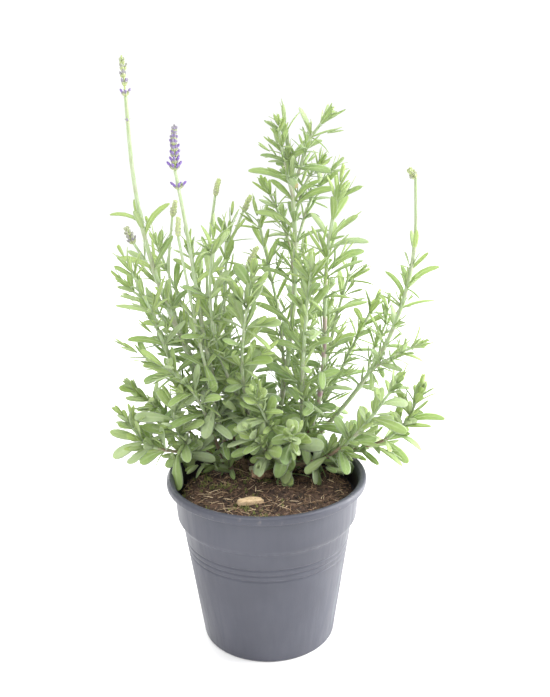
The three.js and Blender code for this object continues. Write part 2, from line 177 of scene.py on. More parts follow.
def letLightThrough(tree, shader, colour, normal, share):
    # thin petals and leaves glow a little when they are lit from behind
    through = addNode(tree, "BsdfTranslucent", {"Color": colour, "Normal": normal})
    both = addNode(tree, "MixShader", {0: share, 1: shader.outputs[0], 2: through.outputs[0]})
    tree.links.new(both.outputs[0], tree.nodes["Material Output"].inputs["Surface"])


def newLayers(names):
    # a mesh whose points carry the named values
    bm = bmesh.new()
    for name in names:
        bm.verts.layers.float.new(name)
    return bm


view = {
    "place": (0.008, -0.6247, 0.4178),
    "tilt": 73.1,  # degrees from straight down
    "roll": -0.95,
    "lens": 46.7,  # mm, on a sensor of the width below
    "sensor": 36,
    "nearest": 0.01,
}


def makeCamera():
    data = bpy.data.cameras.new("camera")
    data.lens = view["lens"]
    data.sensor_width = view["sensor"]
    data.clip_start = view["nearest"]
    camera = bpy.data.objects.new("camera", data)
    tilt = Matrix.Rotation(math.radians(view["tilt"]), 4, "X")
    roll = Matrix.Rotation(math.radians(view["roll"]), 4, "Z")
    camera.matrix_world = Matrix.Translation(view["place"]) @ (tilt @ roll)
    bpy.context.scene.collection.objects.link(camera)
    bpy.context.scene.camera = camera


studio = {
    "sky": 1.08, "floor": rgb(0.96, 0.96, 0.96), "floorReach": 40,
    # name: place, aimed at, width, watts
    "lamps": {
        "windowRight": ((0.9, 0.1, 0.9), (0, 0, 0.2), 0.9, 19),
        "lowRight": ((0.75, 0.12, 0.1), (0, 0, 0.06), 0.5, 8),
        "softFront": ((-0.5, -1.0, 1.3), (0, 0, 0.25), 1.0, 12),
        "backGlow": ((-0.4, 1.2, 0.7), (0, 0, 0.25), 1.1, 14),
    },
}


def makeLights():
    world = bpy.data.worlds.new("studio")
    world.use_nodes = True
    background = world.node_tree.nodes["Background"]
    background.inputs["Color"].default_value = rgb(1, 1, 1)
    background.inputs["Strength"].default_value = studio["sky"]
    bpy.context.scene.world = world
    for name, (place, aim, width, watts) in studio["lamps"].items():
        lamp = bpy.data.lights.new(name, "AREA")
        lamp.size = width
        lamp.energy = watts
        holder = bpy.data.objects.new(name, lamp)
        facing = (Vector(aim) - Vector(place)).to_track_quat("-Z", "Y")
        holder.matrix_world = Matrix.Translation(place) @ facing.to_matrix().to_4x4()
        bpy.context.scene.collection.objects.link(holder)
    bpy.context.scene.view_settings.view_transform = "Standard"


def makeFloor():
    bm = bmesh.new()
    bmesh.ops.create_grid(bm, x_segments=4, y_segments=4, size=studio["floorReach"])
    mesh = bpy.data.meshes.new("floor")
    bm.to_mesh(mesh)
    bm.free()
    material, _, shader = newMaterial("paleFloor", 0.7)
    shader.inputs["Base Color"].default_value = studio["floor"]
    mesh.materials.append(material)
    floor = bpy.data.objects.new("floor", mesh)
    bpy.context.scene.collection.objects.link(floor)


makeCamera()
makeLights()
makeFloor()
print("studio ready")


potLook = {
    "footRadius": 50.6, "topRadius": 64.4, "bodyHeight": 96, "collarHeight": 101, "collarRadius": 69.6,
    "lipHeight": 124, "wall": 1.7, "floor": 2.2, "grooves": (73.6, 78.4, 83.2), "grooveDepth": 0.6,
    "grooveReach": 1.1, "drains": 6, "drainRadius": 4, "drainCircle": 34, "steps": 176,
    "slate": rgb(0.046, 0.048, 0.066), "slatePale": rgb(0.06, 0.063, 0.084), "dust": rgb(0.2, 0.19, 0.185),
    # the next near black tone is painted shade for the inside wall above the soil
    "insideShade": rgb(0.018, 0.017, 0.018), "collarFlare": 0.07, "insideCollar": 0.0669,
}


def potMaterial():
    material, tree, shader = newMaterial("slatePlastic", 0.42, **{"Specular IOR Level": 0.5})
    point = objectPoint(tree)
    cloudy = noiseAt(tree, 18, 4, point)
    speck = noiseAt(tree, 700, 2, point)
    colour = mixed(tree, spread(tree, cloudy, 0.35, 0.7), potLook["slate"], potLook["slatePale"])
    # splashed soil dries on the lip and just under it
    height = addNode(tree, "SeparateXYZ", {0: point}).outputs["Z"]
    dustLine = spread(tree, height, 0.118, 0.131)
    dusty = worked(tree, "MULTIPLY", dustLine, spread(tree, noiseAt(tree, 160, 5, point), 0.56, 0.72, 0, 0.4))
    colour = mixed(tree, dusty, colour, potLook["dust"])
    colour = mixed(tree, spread(tree, speck, 0.62, 0.75, 0, 0.25), colour, potLook["slatePale"])
    # painted shade: the inside of the wall above the soil is darkened almost to black
    flat = addNode(tree, "VectorMath", {0: point, 1: (1, 1, 0)}, operation="MULTIPLY").outputs[0]
    outwards = addNode(tree, "VectorMath", {0: flat}, operation="LENGTH").outputs["Value"]
    aboveCollar = worked(tree, "SUBTRACT", height, potLook["collarHeight"] * mm)
    flare = worked(tree, "MULTIPLY", aboveCollar, potLook["collarFlare"])
    edge = potLook["insideCollar"]
    within = spread(tree, worked(tree, "SUBTRACT", outwards, flare), edge + 0.0004, edge)
    inside = worked(tree, "MULTIPLY", within, spread(tree, height, 0.112, 0.114))
    colour = mixed(tree, inside, colour, potLook["insideShade"])
    # fine drag lines run down the wall, and faint rings are left by the mould
    drag = noiseAt(tree, 240, 3, stretched(tree, point, (1, 1, 0.05)))
    wave = addNode(tree, "TexWave", {"Vector": point, "Scale": 260, "Distortion": 0.6}, bands_direction="Z")
    streaky = spread(tree, drag, 0.3, 0.7, 0.36, 0.5)
    rough = worked(tree, "ADD", streaky, spread(tree, cloudy, 0.3, 0.7, -0.03, 0.05))
    normal = bumped(tree, speck, 0.25, 0.0002)
    normal = bumped(tree, drag, 0.12, 0.0003, normal)
    finishSurface(tree, shader, colour, rough, bumped(tree, wave.outputs["Fac"], 0.04, 0.0002, normal))
    return material


def potWallAt(height):
    look = potLook
    return look["footRadius"] + (look["topRadius"] - look["footRadius"]) * height / look["bodyHeight"]


def potOutline():
    # the profile, and how softly each corner is rounded
    look = potLook
    wall, body, collar, lip = look["wall"], look["bodyHeight"], look["collarHeight"], look["lipHeight"]
    rim, top = potHigh.x / mm, potHigh.z / mm
    points = [(0, 0, 0), (look["footRadius"] - 0.9, 0, 1.2), (potWallAt(1.2), 1.2, 0.8)]
    for groove in look["grooves"]:
        points.append((potWallAt(groove - look["grooveReach"]), groove - look["grooveReach"], 0.35))
        points.append((potWallAt(groove) - look["grooveDepth"], groove, 0.35))
        points.append((potWallAt(groove + look["grooveReach"]), groove + look["grooveReach"], 0.35))
    points += [
        (look["topRadius"], body, 1.6), (look["collarRadius"] - 1.7, collar - 1, 1.6),
        (look["collarRadius"], lip, 0.8), (rim, lip + 0.9, 1.3), (rim, top - 0.1, 2.2), (rim - 4.6, top, 2.0),
        (look["collarRadius"] - wall, lip - 1, 0.8), (look["collarRadius"] - 1.4 - wall, collar + 0.8, 1),
        (look["topRadius"] - wall, body - 0.6, 1), (potWallAt(2.6) - wall, look["floor"], 1),
        (0, look["floor"], 0),
    ]
    return points


def spinAll(bm, steps):
    bmesh.ops.spin(
        bm, geom=bm.verts[:] + bm.edges[:], cent=(0, 0, 0), axis=(0, 0, 1),
        angle=2 * math.pi, steps=steps, use_merge=True,
    )
    bmesh.ops.remove_doubles(bm, verts=bm.verts[:], dist=1e-6)


def spinOutline(points, steps):
    bm = bmesh.new()
    verts = [bm.verts.new((radius * mm, 0, height * mm)) for radius, height, _ in points]
    for below, above in zip(verts, verts[1:]):
        bm.edges.new((below, above))
    for softness in sorted({soft for _, _, soft in points if soft}):
        corners = [vert for vert, (_, _, soft) in zip(verts, points) if soft == softness]
        bmesh.ops.bevel(
            bm, geom=corners, offset=softness * mm, segments=4, profile=0.5,
            affect="VERTICES", clamp_overlap=True, material=-1,
        )
    spinAll(bm, steps)
    bmesh.ops.recalc_face_normals(bm, faces=bm.faces[:])
    return bm


def makePot():
    look = potLook
    bm = spinOutline(potOutline(), look["steps"])
    pot = placePiece("moulded_pot", bm, [potMaterial()], ["pot"])
    cutter = bmesh.new()
    for drain in range(look["drains"]):
        angle = (drain + 0.5) * 2 * math.pi / look["drains"]
        reach = look["drainCircle"] * mm
        place = Matrix.Translation((reach * math.cos(angle), reach * math.sin(angle), 0))
        bmesh.ops.create_cone(
            cutter, cap_ends=True, segments=32, radius1=look["drainRadius"] * mm,
            radius2=look["drainRadius"] * mm, depth=4 * look["floor"] * mm, matrix=place,
        )
    mesh = bpy.data.meshes.new("drains")
    cutter.to_mesh(mesh)
    cutter.free()
    drains = bpy.data.objects.new("drains", mesh)
    bpy.context.scene.collection.objects.link(drains)
    cut = pot.modifiers.new("drains", "BOOLEAN")
    cut.object = drains
    cut.operation = "DIFFERENCE"
    shown = pot.evaluated_get(bpy.context.evaluated_depsgraph_get())
    pierced = bpy.data.meshes.new_from_object(shown)
    pot.modifiers.clear()
    pot.data = pierced
    bpy.data.objects.remove(drains)


makePot()
print("pot ready")


soilLook = {
    "level": 115, "crown": 3, "edgeDip": 2.5, "edgeRadius": 66, "rings": 74, "steps": 216, "seed": 31,
    "swell": 1.7, "clods": 1.5, "crumbs": 0.9,
    "dark": rgb(0.028, 0.016, 0.012), "brown": rgb(0.12, 0.068, 0.046), "pale": rgb(0.27, 0.18, 0.125),
}
litterLook = {
    "crumbs": 1900, "crumbSize": (0.45, 1.7), "fibres": 760, "fibreLength": (3, 12), "straws": 300,
    "strawLength": (2.5, 11), "mossTufts": 420, "reach": 65, "seed": 57,
    # the darkest and palest tone of each
    "crumbTones": (rgb(0.018, 0.012, 0.009), rgb(0.15, 0.095, 0.06)),
    "fibreTones": (rgb(0.05, 0.026, 0.015), rgb(0.42, 0.27, 0.16)),
    "strawTones": (rgb(0.3, 0.19, 0.1), rgb(0.74, 0.58, 0.38)),
    "mossTones": (rgb(0.07, 0.1, 0.022), rgb(0.32, 0.36, 0.1)),
}


def soilHeight(x, y):
    # the settled surface in millimetres, before the loose bits
    radius = math.hypot(x, y)
    base = soilLook["level"] + soilLook["crown"] * (1 - (radius / 68) ** 2)
    base -= soilLook["edgeDip"] * smoothRise(56, 67, radius)
    point = Vector((x, y, 0))
    swell = noise.noise(point * 0.045) * soilLook["swell"]
    clods = 0.5 - noise.voronoi(point * 0.17)[0][0]
    crumbs = 0.45 - noise.voronoi(point * 0.46 + Vector((7, 3, 0)))[0][0]
    grit = noise.noise(point * 1.3) * 0.35
    return base + swell + clods * soilLook["clods"] + crumbs * soilLook["crumbs"] + grit


def soilMaterial():
    material, tree, shader = newMaterial("dampPeat", 0.95)
    point = objectPoint(tree)
    coarse = noiseAt(tree, 90, 6, point, 0.7)
    fine = noiseAt(tree, 900, 4, point, 0.65)
    cell = addNode(tree, "TexVoronoi", {"Vector": point, "Scale": 520}).outputs["Color"]
    fleck = addNode(tree, "SeparateColor", {0: cell}).outputs[0]
    colour = mixed(tree, spread(tree, coarse, 0.36, 0.68), soilLook["dark"], soilLook["brown"])
    colour = mixed(tree, spread(tree, fine, 0.5, 0.75, 0, 0.55), colour, soilLook["pale"])
    colour = mixed(tree, spread(tree, fleck, 0.9, 0.97, 0, 0.5), colour, soilLook["pale"])
    rough = spread(tree, coarse, 0.3, 0.7, 0.8, 1)
    normal = bumped(tree, coarse, 0.6, 0.002)
    finishSurface(tree, shader, colour, rough, bumped(tree, fine, 0.7, 0.0008, normal))
    return material


def litterMaterial(name, dark, pale, roughness):
    # loose bits: one tone per bit from its own attribute, streaked by fine noise
    material, tree, shader = newMaterial(name, roughness)
    tone = addNode(tree, "Attribute", attribute_name="tone").outputs["Fac"]
    streak = noiseAt(tree, 1400, 3)
    share = worked(tree, "ADD", tone, spread(tree, streak, 0.3, 0.7, -0.25, 0.25))
    rough = spread(tree, streak, 0.3, 0.7, roughness - 0.1, 1)
    finishSurface(tree, shader, mixed(tree, share, dark, pale), rough, bumped(tree, streak, 0.5, 0.0004))
    return material


def makeSoil():
    look = soilLook
    bm = bmesh.new()
    edge = look["edgeRadius"]
    level = soilHigh.z / mm
    radii = [edge * (ring / look["rings"]) for ring in range(look["rings"] + 1)]
    outline = [(radius, level) for radius in radii]
    outline += [(edge + 0.4, level - 8), (edge - 0.2, 101.8), (62.3, 95.4), (49.0, 4), (47.4, 2.7), (0, 2.7)]
    verts = [bm.verts.new((radius * mm, 0, height * mm)) for radius, height in outline]
    for inner, outer in zip(verts, verts[1:]):
        bm.edges.new((inner, outer))
    spinAll(bm, look["steps"])
    for vert in bm.verts:
        if vert.co.z > (level - 1) * mm:
            vert.co.z = soilHeight(vert.co.x / mm, vert.co.y / mm) * mm
    bmesh.ops.recalc_face_normals(bm, faces=bm.faces[:])
    placePiece("soil_bed", bm, [soilMaterial()], ["potting_soil"])


def freshEdges(grown, fresh):
    # of what was extruded, the edges that lie between new points
    return {item for item in grown if isinstance(item, bmesh.types.BMEdge) and set(item.verts) <= fresh}


def flatTube(name, sides, rings):
    # a closed tube of radius 1 along +Y, with a ring at each share of its length
    bm = bmesh.new()
    ring = bmesh.ops.create_circle(
        bm, cap_ends=True, segments=sides, radius=1, matrix=Matrix.Rotation(math.radians(90), 4, "X"),
    )["verts"]
    edges = {edge for vert in ring for edge in vert.link_edges}
    for below, above in zip(rings, rings[1:]):
        grown = bmesh.ops.extrude_edge_only(bm, edges=list(edges))["geom"]
        fresh = {item for item in grown if isinstance(item, bmesh.types.BMVert)}
        bmesh.ops.translate(bm, vec=(0, above - below, 0), verts=list(fresh))
        edges = freshEdges(grown, fresh)
    bmesh.ops.contextual_create(bm, geom=list(edges))
    bmesh.ops.recalc_face_normals(bm, faces=bm.faces[:])
    mesh = bpy.data.meshes.new(name)
    bm.to_mesh(mesh)
    bm.free()
    return mesh, [vert.co.copy() for vert in mesh.vertices]


def addCopy(bm, template):
    # the template's vertices, added to the mesh, beside the places they had
    mesh, places = template
    start = len(bm.verts)
    bm.from_mesh(mesh)
    bm.verts.ensure_lookup_table()
    return [(bm.verts[start + index], place) for index, place in enumerate(places)]


strandShape = flatTube("strand", 4, (0, 0.25, 0.5, 0.75, 1))


def addStrand(bm, start, heading, length, radius, draw, lift=0.0, curl=0.9):
    # a thin fibre that wanders as it lies on the soil, and turns back at the pot's wall
    middles = {0: start}
    for step in range(4):
        swing = Quaternion(upward, curl * (draw() - 0.5)) @ heading
        swing.z += lift * (draw() - 0.45)
        heading = swing.normalized()
        if (middles[step] + heading * length / 4).xy.length > litterLook["reach"] * mm:
            heading = (heading - Vector((*middles[step].xy.normalized(), 0)) * 1.6).normalized()
        middles[step + 1] = middles[step] + heading * length / 4
    layer = bm.verts.layers.float["tone"]
    tone = draw()
    side = heading.cross(upward).normalized()
    for vert, place in addCopy(bm, strandShape):
        thin = radius * (1 - 0.6 * place.y ** 3)
        vert.co = middles[round(place.y * 4)] + (side * place.x + side.cross(heading) * place.z) * thin
        vert[layer] = tone


def soilSpot(draw, reach=64.0):
    radius = reach * math.sqrt(draw())
    angle = 2 * math.pi * draw()
    x, y = radius * math.cos(angle), radius * math.sin(angle)
    return x, y, Vector((x, y, soilHeight(x, y))) * mm


def makeCrumbs():
    look = litterLook
    draw = drawer(look["seed"])
    shape = bmesh.new()
    bmesh.ops.create_icosphere(shape, subdivisions=1, radius=1)
    mesh = bpy.data.meshes.new("crumbShape")
    shape.to_mesh(mesh)
    shape.free()
    crumbShape = mesh, [vert.co.copy() for vert in mesh.vertices]
    bm = bmesh.new()
    layer = bm.verts.layers.float.new("tone")
    for _ in range(look["crumbs"]):
        _, _, spot = soilSpot(draw)
        size = between(*look["crumbSize"], draw() ** 2.2) * mm
        tone = draw() ** 1.6
        turn = Quaternion((draw() - 0.5, draw() - 0.5, draw() - 0.5), 6 * draw()).normalized()
        stretch = Vector((1 + 0.7 * draw(), 0.7 + 0.4 * draw(), 0.45 + 0.4 * draw())) * size
        for vert, place in addCopy(bm, crumbShape):
            knobbly = 0.75 + 0.5 * draw()
            vert.co = spot + turn @ (place * stretch * knobbly)
            vert[layer] = tone
    material = litterMaterial("crumbs", *look["crumbTones"], 0.9)
    placePiece("soil_crumbs", bm, [material], ["potting_soil"])


def makeFibres():
    look = litterLook
    draw = drawer(look["seed"] + 1)
    bm = newLayers(["tone"])
    for _ in range(look["fibres"]):
        _, _, spot = soilSpot(draw)
        heading = Vector((draw() - 0.5, draw() - 0.5, 0.25 * draw())).normalized()
        length = between(*look["fibreLength"], draw() ** 1.5) * mm
        radius = between(0.12, 0.3, draw()) * mm
        addStrand(bm, spot + upward * 0.4 * mm, heading, length, radius, draw, 0.3)
    material = litterMaterial("rootFibres", *look["fibreTones"], 0.85)
    placePiece("soil_fibres", bm, [material], ["potting_soil"])


def makeStraws():
    look = litterLook
    draw = drawer(look["seed"] + 2)
    bm = newLayers(["tone"])
    for _ in range(look["straws"]):
        x, _, spot = soilSpot(draw)
        if x > 25 and draw() < 0.6:
            continue
        heading = Vector((draw() - 0.5, draw() - 0.5, 0.1 * draw())).normalized()
        length = between(*look["strawLength"], draw() ** 1.6) * mm
        radius = between(0.16, 0.42, draw()) * mm
        addStrand(bm, spot + upward * 0.8 * mm, heading, length, radius, draw, 0.12, 0.4)
    material = litterMaterial("dryStraw", *look["strawTones"], 0.7)
    placePiece("soil_straw", bm, [material], ["potting_soil"])


def makeMoss():
    look = litterLook
    draw = drawer(look["seed"] + 3)
    bm = newLayers(["tone"])
    for _ in range(look["mossTufts"]):
        x, y, spot = soilSpot(draw)
        if x > 12 or noise.noise(Vector((x, y, 9)) * 0.06) < -0.05:
            continue
        for _ in range(5):
            side = Vector((draw() - 0.5, draw() - 0.5, 0)) * 2.6 * mm
            heading = Vector((draw() - 0.5, draw() - 0.5, 0.5 + 0.6 * draw())).normalized()
            addStrand(bm, spot + side, heading, between(1.4, 4.0, draw()) * mm, 0.22 * mm, draw, 0.3, 0.8)
    material = litterMaterial("mossStrands", *look["mossTones"], 0.85)
    placePiece("soil_moss", bm, [material], ["potting_soil"])


makeSoil()
makeCrumbs()
makeFibres()
makeStraws()
makeMoss()
print("soil ready")


chipLook = {
    # node: middle and half sizes in mm, turn and tilt in degrees, crumpling in mm, seed
    "bark_piece": ((-3, 15, 122.9), (9, 5, 2.6), 20, 12, 2.4, 71),
    "wood_chip": ((-12, -27, 120.2), (9.5, 3.4, 1.8), 18, 3, 0.7, 72),
}
chipFinish = {
    # node: material, its deep and light tone, and how its grain is stretched
    "bark_piece": ("tornBark", rgb(0.2, 0.115, 0.065), rgb(0.62, 0.42, 0.27), (1, 3, 1)),
    "wood_chip": ("paleWood", rgb(0.5, 0.32, 0.17), rgb(0.86, 0.68, 0.44), (0.3, 4, 4)),
}


def barkMaterial(name, deep, light, stripes):
    material, tree, shader = newMaterial(name, 0.9)
    point = objectPoint(tree)
    grain = noiseAt(tree, 420, 5, stretched(tree, point, stripes), 0.7)
    worn = noiseAt(tree, 130, 4, point)
    colour = mixed(tree, spread(tree, grain, 0.35, 0.65), deep, light)
    colour = mixed(tree, spread(tree, worn, 0.55, 0.72, 0, 0.7), colour, deep)
    rough = spread(tree, grain, 0.3, 0.7, 0.75, 1)
    finishSurface(tree, shader, colour, rough, bumped(tree, grain, 0.8, 0.0008))
    return material


def makeChips():
    for node, (middle, half, turn, tilt, crumple, seed) in chipLook.items():
        bm = bmesh.new()
        bmesh.ops.create_cube(bm, size=2)
        bmesh.ops.subdivide_edges(bm, edges=bm.edges[:], cuts=9, use_grid_fill=True)
        for vert in bm.verts:
            point = Vector(vert.co)
            torn = 1 - 0.22 * abs(noise.noise(Vector((point.y * 2.5, point.z, seed)))) * abs(point.x) ** 3
            narrow = 1 - 0.35 * abs(point.x) ** 2.2
            long, wide, thick = half
            vert.co = Vector((point.x * long * torn, point.y * wide * narrow, point.z * thick * narrow))
            folds = Vector([noise.noise(vert.co * 0.2 + Vector((seed, axis, 0))) for axis in (1, 5, 9)])
            vert.co += folds * crumple + noise.noise_vector(vert.co * 0.9) * 0.3 * crumple
        shift = Matrix.Translation(Vector(middle) * mm) @ Matrix.Rotation(math.radians(turn), 4, "Z")
        shift = shift @ Matrix.Rotation(math.radians(tilt), 4, "Y") @ Matrix.Scale(mm, 4)
        bmesh.ops.transform(bm, matrix=shift, verts=bm.verts[:])
        placePiece(node + "_torn", bm, [barkMaterial(*chipFinish[node])], [node])


makeChips()
print("chips ready")


def routePoint(points, share):
    # a smooth curve through the points, by the share of its points passed
    place = share * (len(points) - 1)
    index = min(int(place), len(points) - 2)
    local = place - index
    start, end = points[index], points[index + 1]
    before = points[index - 1] if index else 2 * start - end
    after = points[index + 2] if index + 2 < len(points) else 2 * end - start
    tangentIn, tangentOut = (end - before) / 2, (after - start) / 2
    square, cube = local * local, local ** 3
    bent = (2 * start - 2 * end + tangentIn + tangentOut) * cube
    return bent + (-3 * start + 3 * end - 2 * tangentIn - tangentOut) * square + tangentIn * local + start


class Route:
    # evenly spaced points along a smooth curve through the given millimetre points
    def __init__(self, path, count=120):
        points = [Vector(point) * mm for point in path]
        rough = [routePoint(points, step / 400) for step in range(401)]
        lengths = [0.0]
        for first, second in zip(rough, rough[1:]):
            lengths.append(lengths[-1] + (second - first).length)
        self.length = lengths[-1]
        self.points = []
        cursor = 0
        for step in range(count + 1):
            goal = self.length * step / count
            while cursor < len(rough) - 2 and lengths[cursor + 1] < goal:
                cursor += 1
            gap = lengths[cursor + 1] - lengths[cursor]
            self.points.append(rough[cursor].lerp(rough[cursor + 1], (goal - lengths[cursor]) / gap))

    def at(self, share):
        place = min(0.99999, max(0, share)) * (len(self.points) - 1)
        index = int(place)
        return self.points[index].lerp(self.points[index + 1], place - index)

    def heading(self, share):
        nudge = 1 / (len(self.points) - 1)
        return (self.at(share + nudge) - self.at(share - nudge)).normalized()


def sideways(heading):
    return (depthAxis - heading * depthAxis.dot(heading)).normalized()


def sweepStem(bm, route, radiusAt, sides, steps, square=0.0):
    # a ring is extruded along the route; layers keep how far along and how high up each point is
    riseLayer = bm.verts.layers.float.get("rise") or bm.verts.layers.float.new("rise")

    def frameAt(share):
        heading = route.heading(share)
        away = sideways(heading)
        across = heading.cross(away)
        radius = radiusAt(share)
        turned = Matrix((away * radius, across * radius, heading)).transposed().to_4x4()
        return Matrix.Translation(route.at(share)) @ turned

    ring = bmesh.ops.create_circle(bm, cap_ends=True, segments=sides, radius=1)["verts"]
    for vert in ring:
        angle = math.atan2(vert.co.y, vert.co.x)
        vert.co *= 1 + square * math.cos(4 * angle)
    frame = frameAt(0)
    bmesh.ops.transform(bm, matrix=frame, verts=ring)
    for vert in ring:
        vert[riseLayer] = 0
    edges = {edge for vert in ring for edge in vert.link_edges}
    for step in range(1, steps + 1):
        share = step / steps
        grown = bmesh.ops.extrude_edge_only(bm, edges=list(edges))["geom"]
        fresh = [item for item in grown if isinstance(item, bmesh.types.BMVert)]
        nextFrame = frameAt(share)
        bmesh.ops.transform(bm, matrix=nextFrame @ frame.inverted(), verts=fresh)
        frame = nextFrame
        for vert in fresh:
            vert[riseLayer] = share
        edges = freshEdges(grown, set(fresh))
    bmesh.ops.contextual_create(bm, geom=list(edges))
    bmesh.ops.recalc_face_normals(bm, faces=bm.faces[:])


woodyStems = {
    # node: radius in mm, path in mm from under the soil upwards
    "woody_stem_left": (2.2, ((-14, 38, 104), (-18, 36, 122), (-26, 30, 146), (-31, 24, 172))),
    "woody_stem_low_left": (1.8, ((-20, 30, 104), (-27, 27, 120), (-36, 25, 131), (-48, 22, 136))),
    "woody_stem_middle": (2.6, ((4, 40, 104), (5, 38, 125), (8, 35, 150))),
    "woody_stem_right": (2.2, ((18, 36, 104), (22, 34, 122), (32, 30, 145))),
    "woody_stem_back": (2.2, ((2, 56, 104), (0, 57, 126), (-4, 56, 150), (-10, 54, 168))),
    "woody_stem_back_right": (2, ((24, 54, 104), (27, 56, 124), (31, 58, 146))),
    "woody_stem_front": (2, ((8, 22, 104), (9, 17, 120), (10, 12, 138))),
    "cut_stub": (2.4, ((-7, 22, 104), (-9, 20, 117), (-12, 17, 127))),
}
woodLook = {
    "deep": rgb(0.12, 0.075, 0.045), "light": rgb(0.42, 0.31, 0.2), "green": rgb(0.4, 0.44, 0.25),
    "knots": 0.18, "sides": 14,
}


def woodMaterial():
    material, tree, shader = newMaterial("youngBark", 0.85)
    point = objectPoint(tree)
    flaky = noiseAt(tree, 700, 5, stretched(tree, point, (3, 3, 0.6)), 0.7)
    patchy = noiseAt(tree, 160, 3, point)
    colour = mixed(tree, spread(tree, flaky, 0.36, 0.66), woodLook["deep"], woodLook["light"])
    rise = addNode(tree, "Attribute", attribute_name="rise").outputs["Fac"]
    greener = worked(tree, "MULTIPLY", spread(tree, rise, 0.55, 1), spread(tree, patchy, 0.3, 0.6, 0.3, 0.9))
    colour = mixed(tree, greener, colour, woodLook["green"])
    rough = spread(tree, flaky, 0.3, 0.7, 0.7, 0.95)
    finishSurface(tree, shader, colour, rough, bumped(tree, flaky, 0.9, 0.0006))
    return material


def makeWoodyStems():
    material = woodMaterial()
    for count, (node, (radius, path)) in enumerate(woodyStems.items()):
        route = Route(path)
        bm = bmesh.new()

        def radiusAt(share):
            knots = woodLook["knots"] * max(0, noise.noise(Vector((share * 9, count * 3.7, 0)))) * 2
            return radius * mm * (1.12 - 0.3 * share + knots)

        sweepStem(bm, route, radiusAt, woodLook["sides"], max(14, int(route.length / 0.0015)))
        for vert in bm.verts:
            vert.co += noise.noise_vector(vert.co * 420) * 0.28 * mm
        placePiece(node + "_bark", bm, [material], [node])


makeWoodyStems()
print("woody stems ready")


stemFields = (
    # what a stem grows from and where on it, its heading there, its tip and its heading at the tip,
    # its radius, pairs of leaves, longest leaf and its width, all in mm,
    # the turn of the first pair in degrees, and the bare share below and above
    "from", "start", "leave", "tip", "arrive", "radius", "pairs", "leaf", "width", "turn", "bare",
    # on a flower stem only: the head's top beside the tip, and its kind
    "head", "kind",
)


def stemTable(firstSeed, rows):
    # one dictionary for each stem, with a seed of its own
    table = {}
    for seed, (node, row) in enumerate(rows.items(), firstSeed):
        table[node] = {**dict(zip(stemFields, row)), "seed": seed}
    return table


flowerStems = stemTable(101, {
    "flower_stem_tall": (
        "woody_stem_left", 0.94, (-2, -1, 4), (-88, -4, 405), (0, 0, 1), 1.05, 5, 33, 5, 0, (0.12, 0.36),
        (-1, 0, 26), "sparse",
    ),
    "flower_stem_purple": (
        "woody_stem_left", 0.75, (-1, -2, 4), (-57, -10, 357), (-1, 0, 6), 0.95, 4, 28, 4.5, 40, (0.1, 0.5),
        (1, -1, 30), "full",
    ),
    "flower_stem_slim": (
        "woody_stem_middle", 0.74, (-1, 0, 1), (-33, 26, 335), (1, -1, 5), 0.8, 4, 24, 4, 70, (0.15, 0.45),
        (3, 0, 12), "bud",
    ),
    "flower_stem_leaning": (
        "woody_stem_back", 0.6, (-3, -1, 3), (-14, 50, 320), (1, 0, 2), 0.8, 5, 26, 4, 20, (0.15, 0.35),
        (6, 0, 12), "bud",
    ),
    "flower_stem_back": (
        "woody_stem_back", 0.34, (-1, 0, 1), (-67, 50, 317), (1, 0, 5), 0.8, 5, 25, 4, 60, (0.15, 0.35),
        (3, 0, 12), "bud",
    ),
    "flower_stem_front": (
        "woody_stem_low_left", 0.39, (-1, -2, 6), (-56, -20, 314), (-1, -1, 8), 0.8, 6, 27, 4.5, 15,
        (0.15, 0.3),
        (1, 0, 13), "bud",
    ),
    "flower_stem_outer": (
        "woody_stem_left", 0.5, (-3, 0, 4), (-92, 18, 303), (-2, 0, 3), 0.9, 7, 27, 4.5, 80, (0.15, 0.08),
        (-5, 0, 12), "mauve",
    ),
    "flower_stem_short": (
        "woody_stem_middle", 0.5, (-2, -1, 4), (-10, 10, 289), (1, 0, 1), 0.8, 5, 26, 4.5, 30, (0.2, 0.3),
        (7, 0, 12), "bud",
    ),
    "flower_stem_right": (
        "woody_stem_right", 0.69, (1, 0, 1), (111, 30, 345), (-1, 0, 12), 1.1, 8, 26, 4, 95, (0.3, 0.22),
        (-6, 0, 6), "curled",
    ),
})
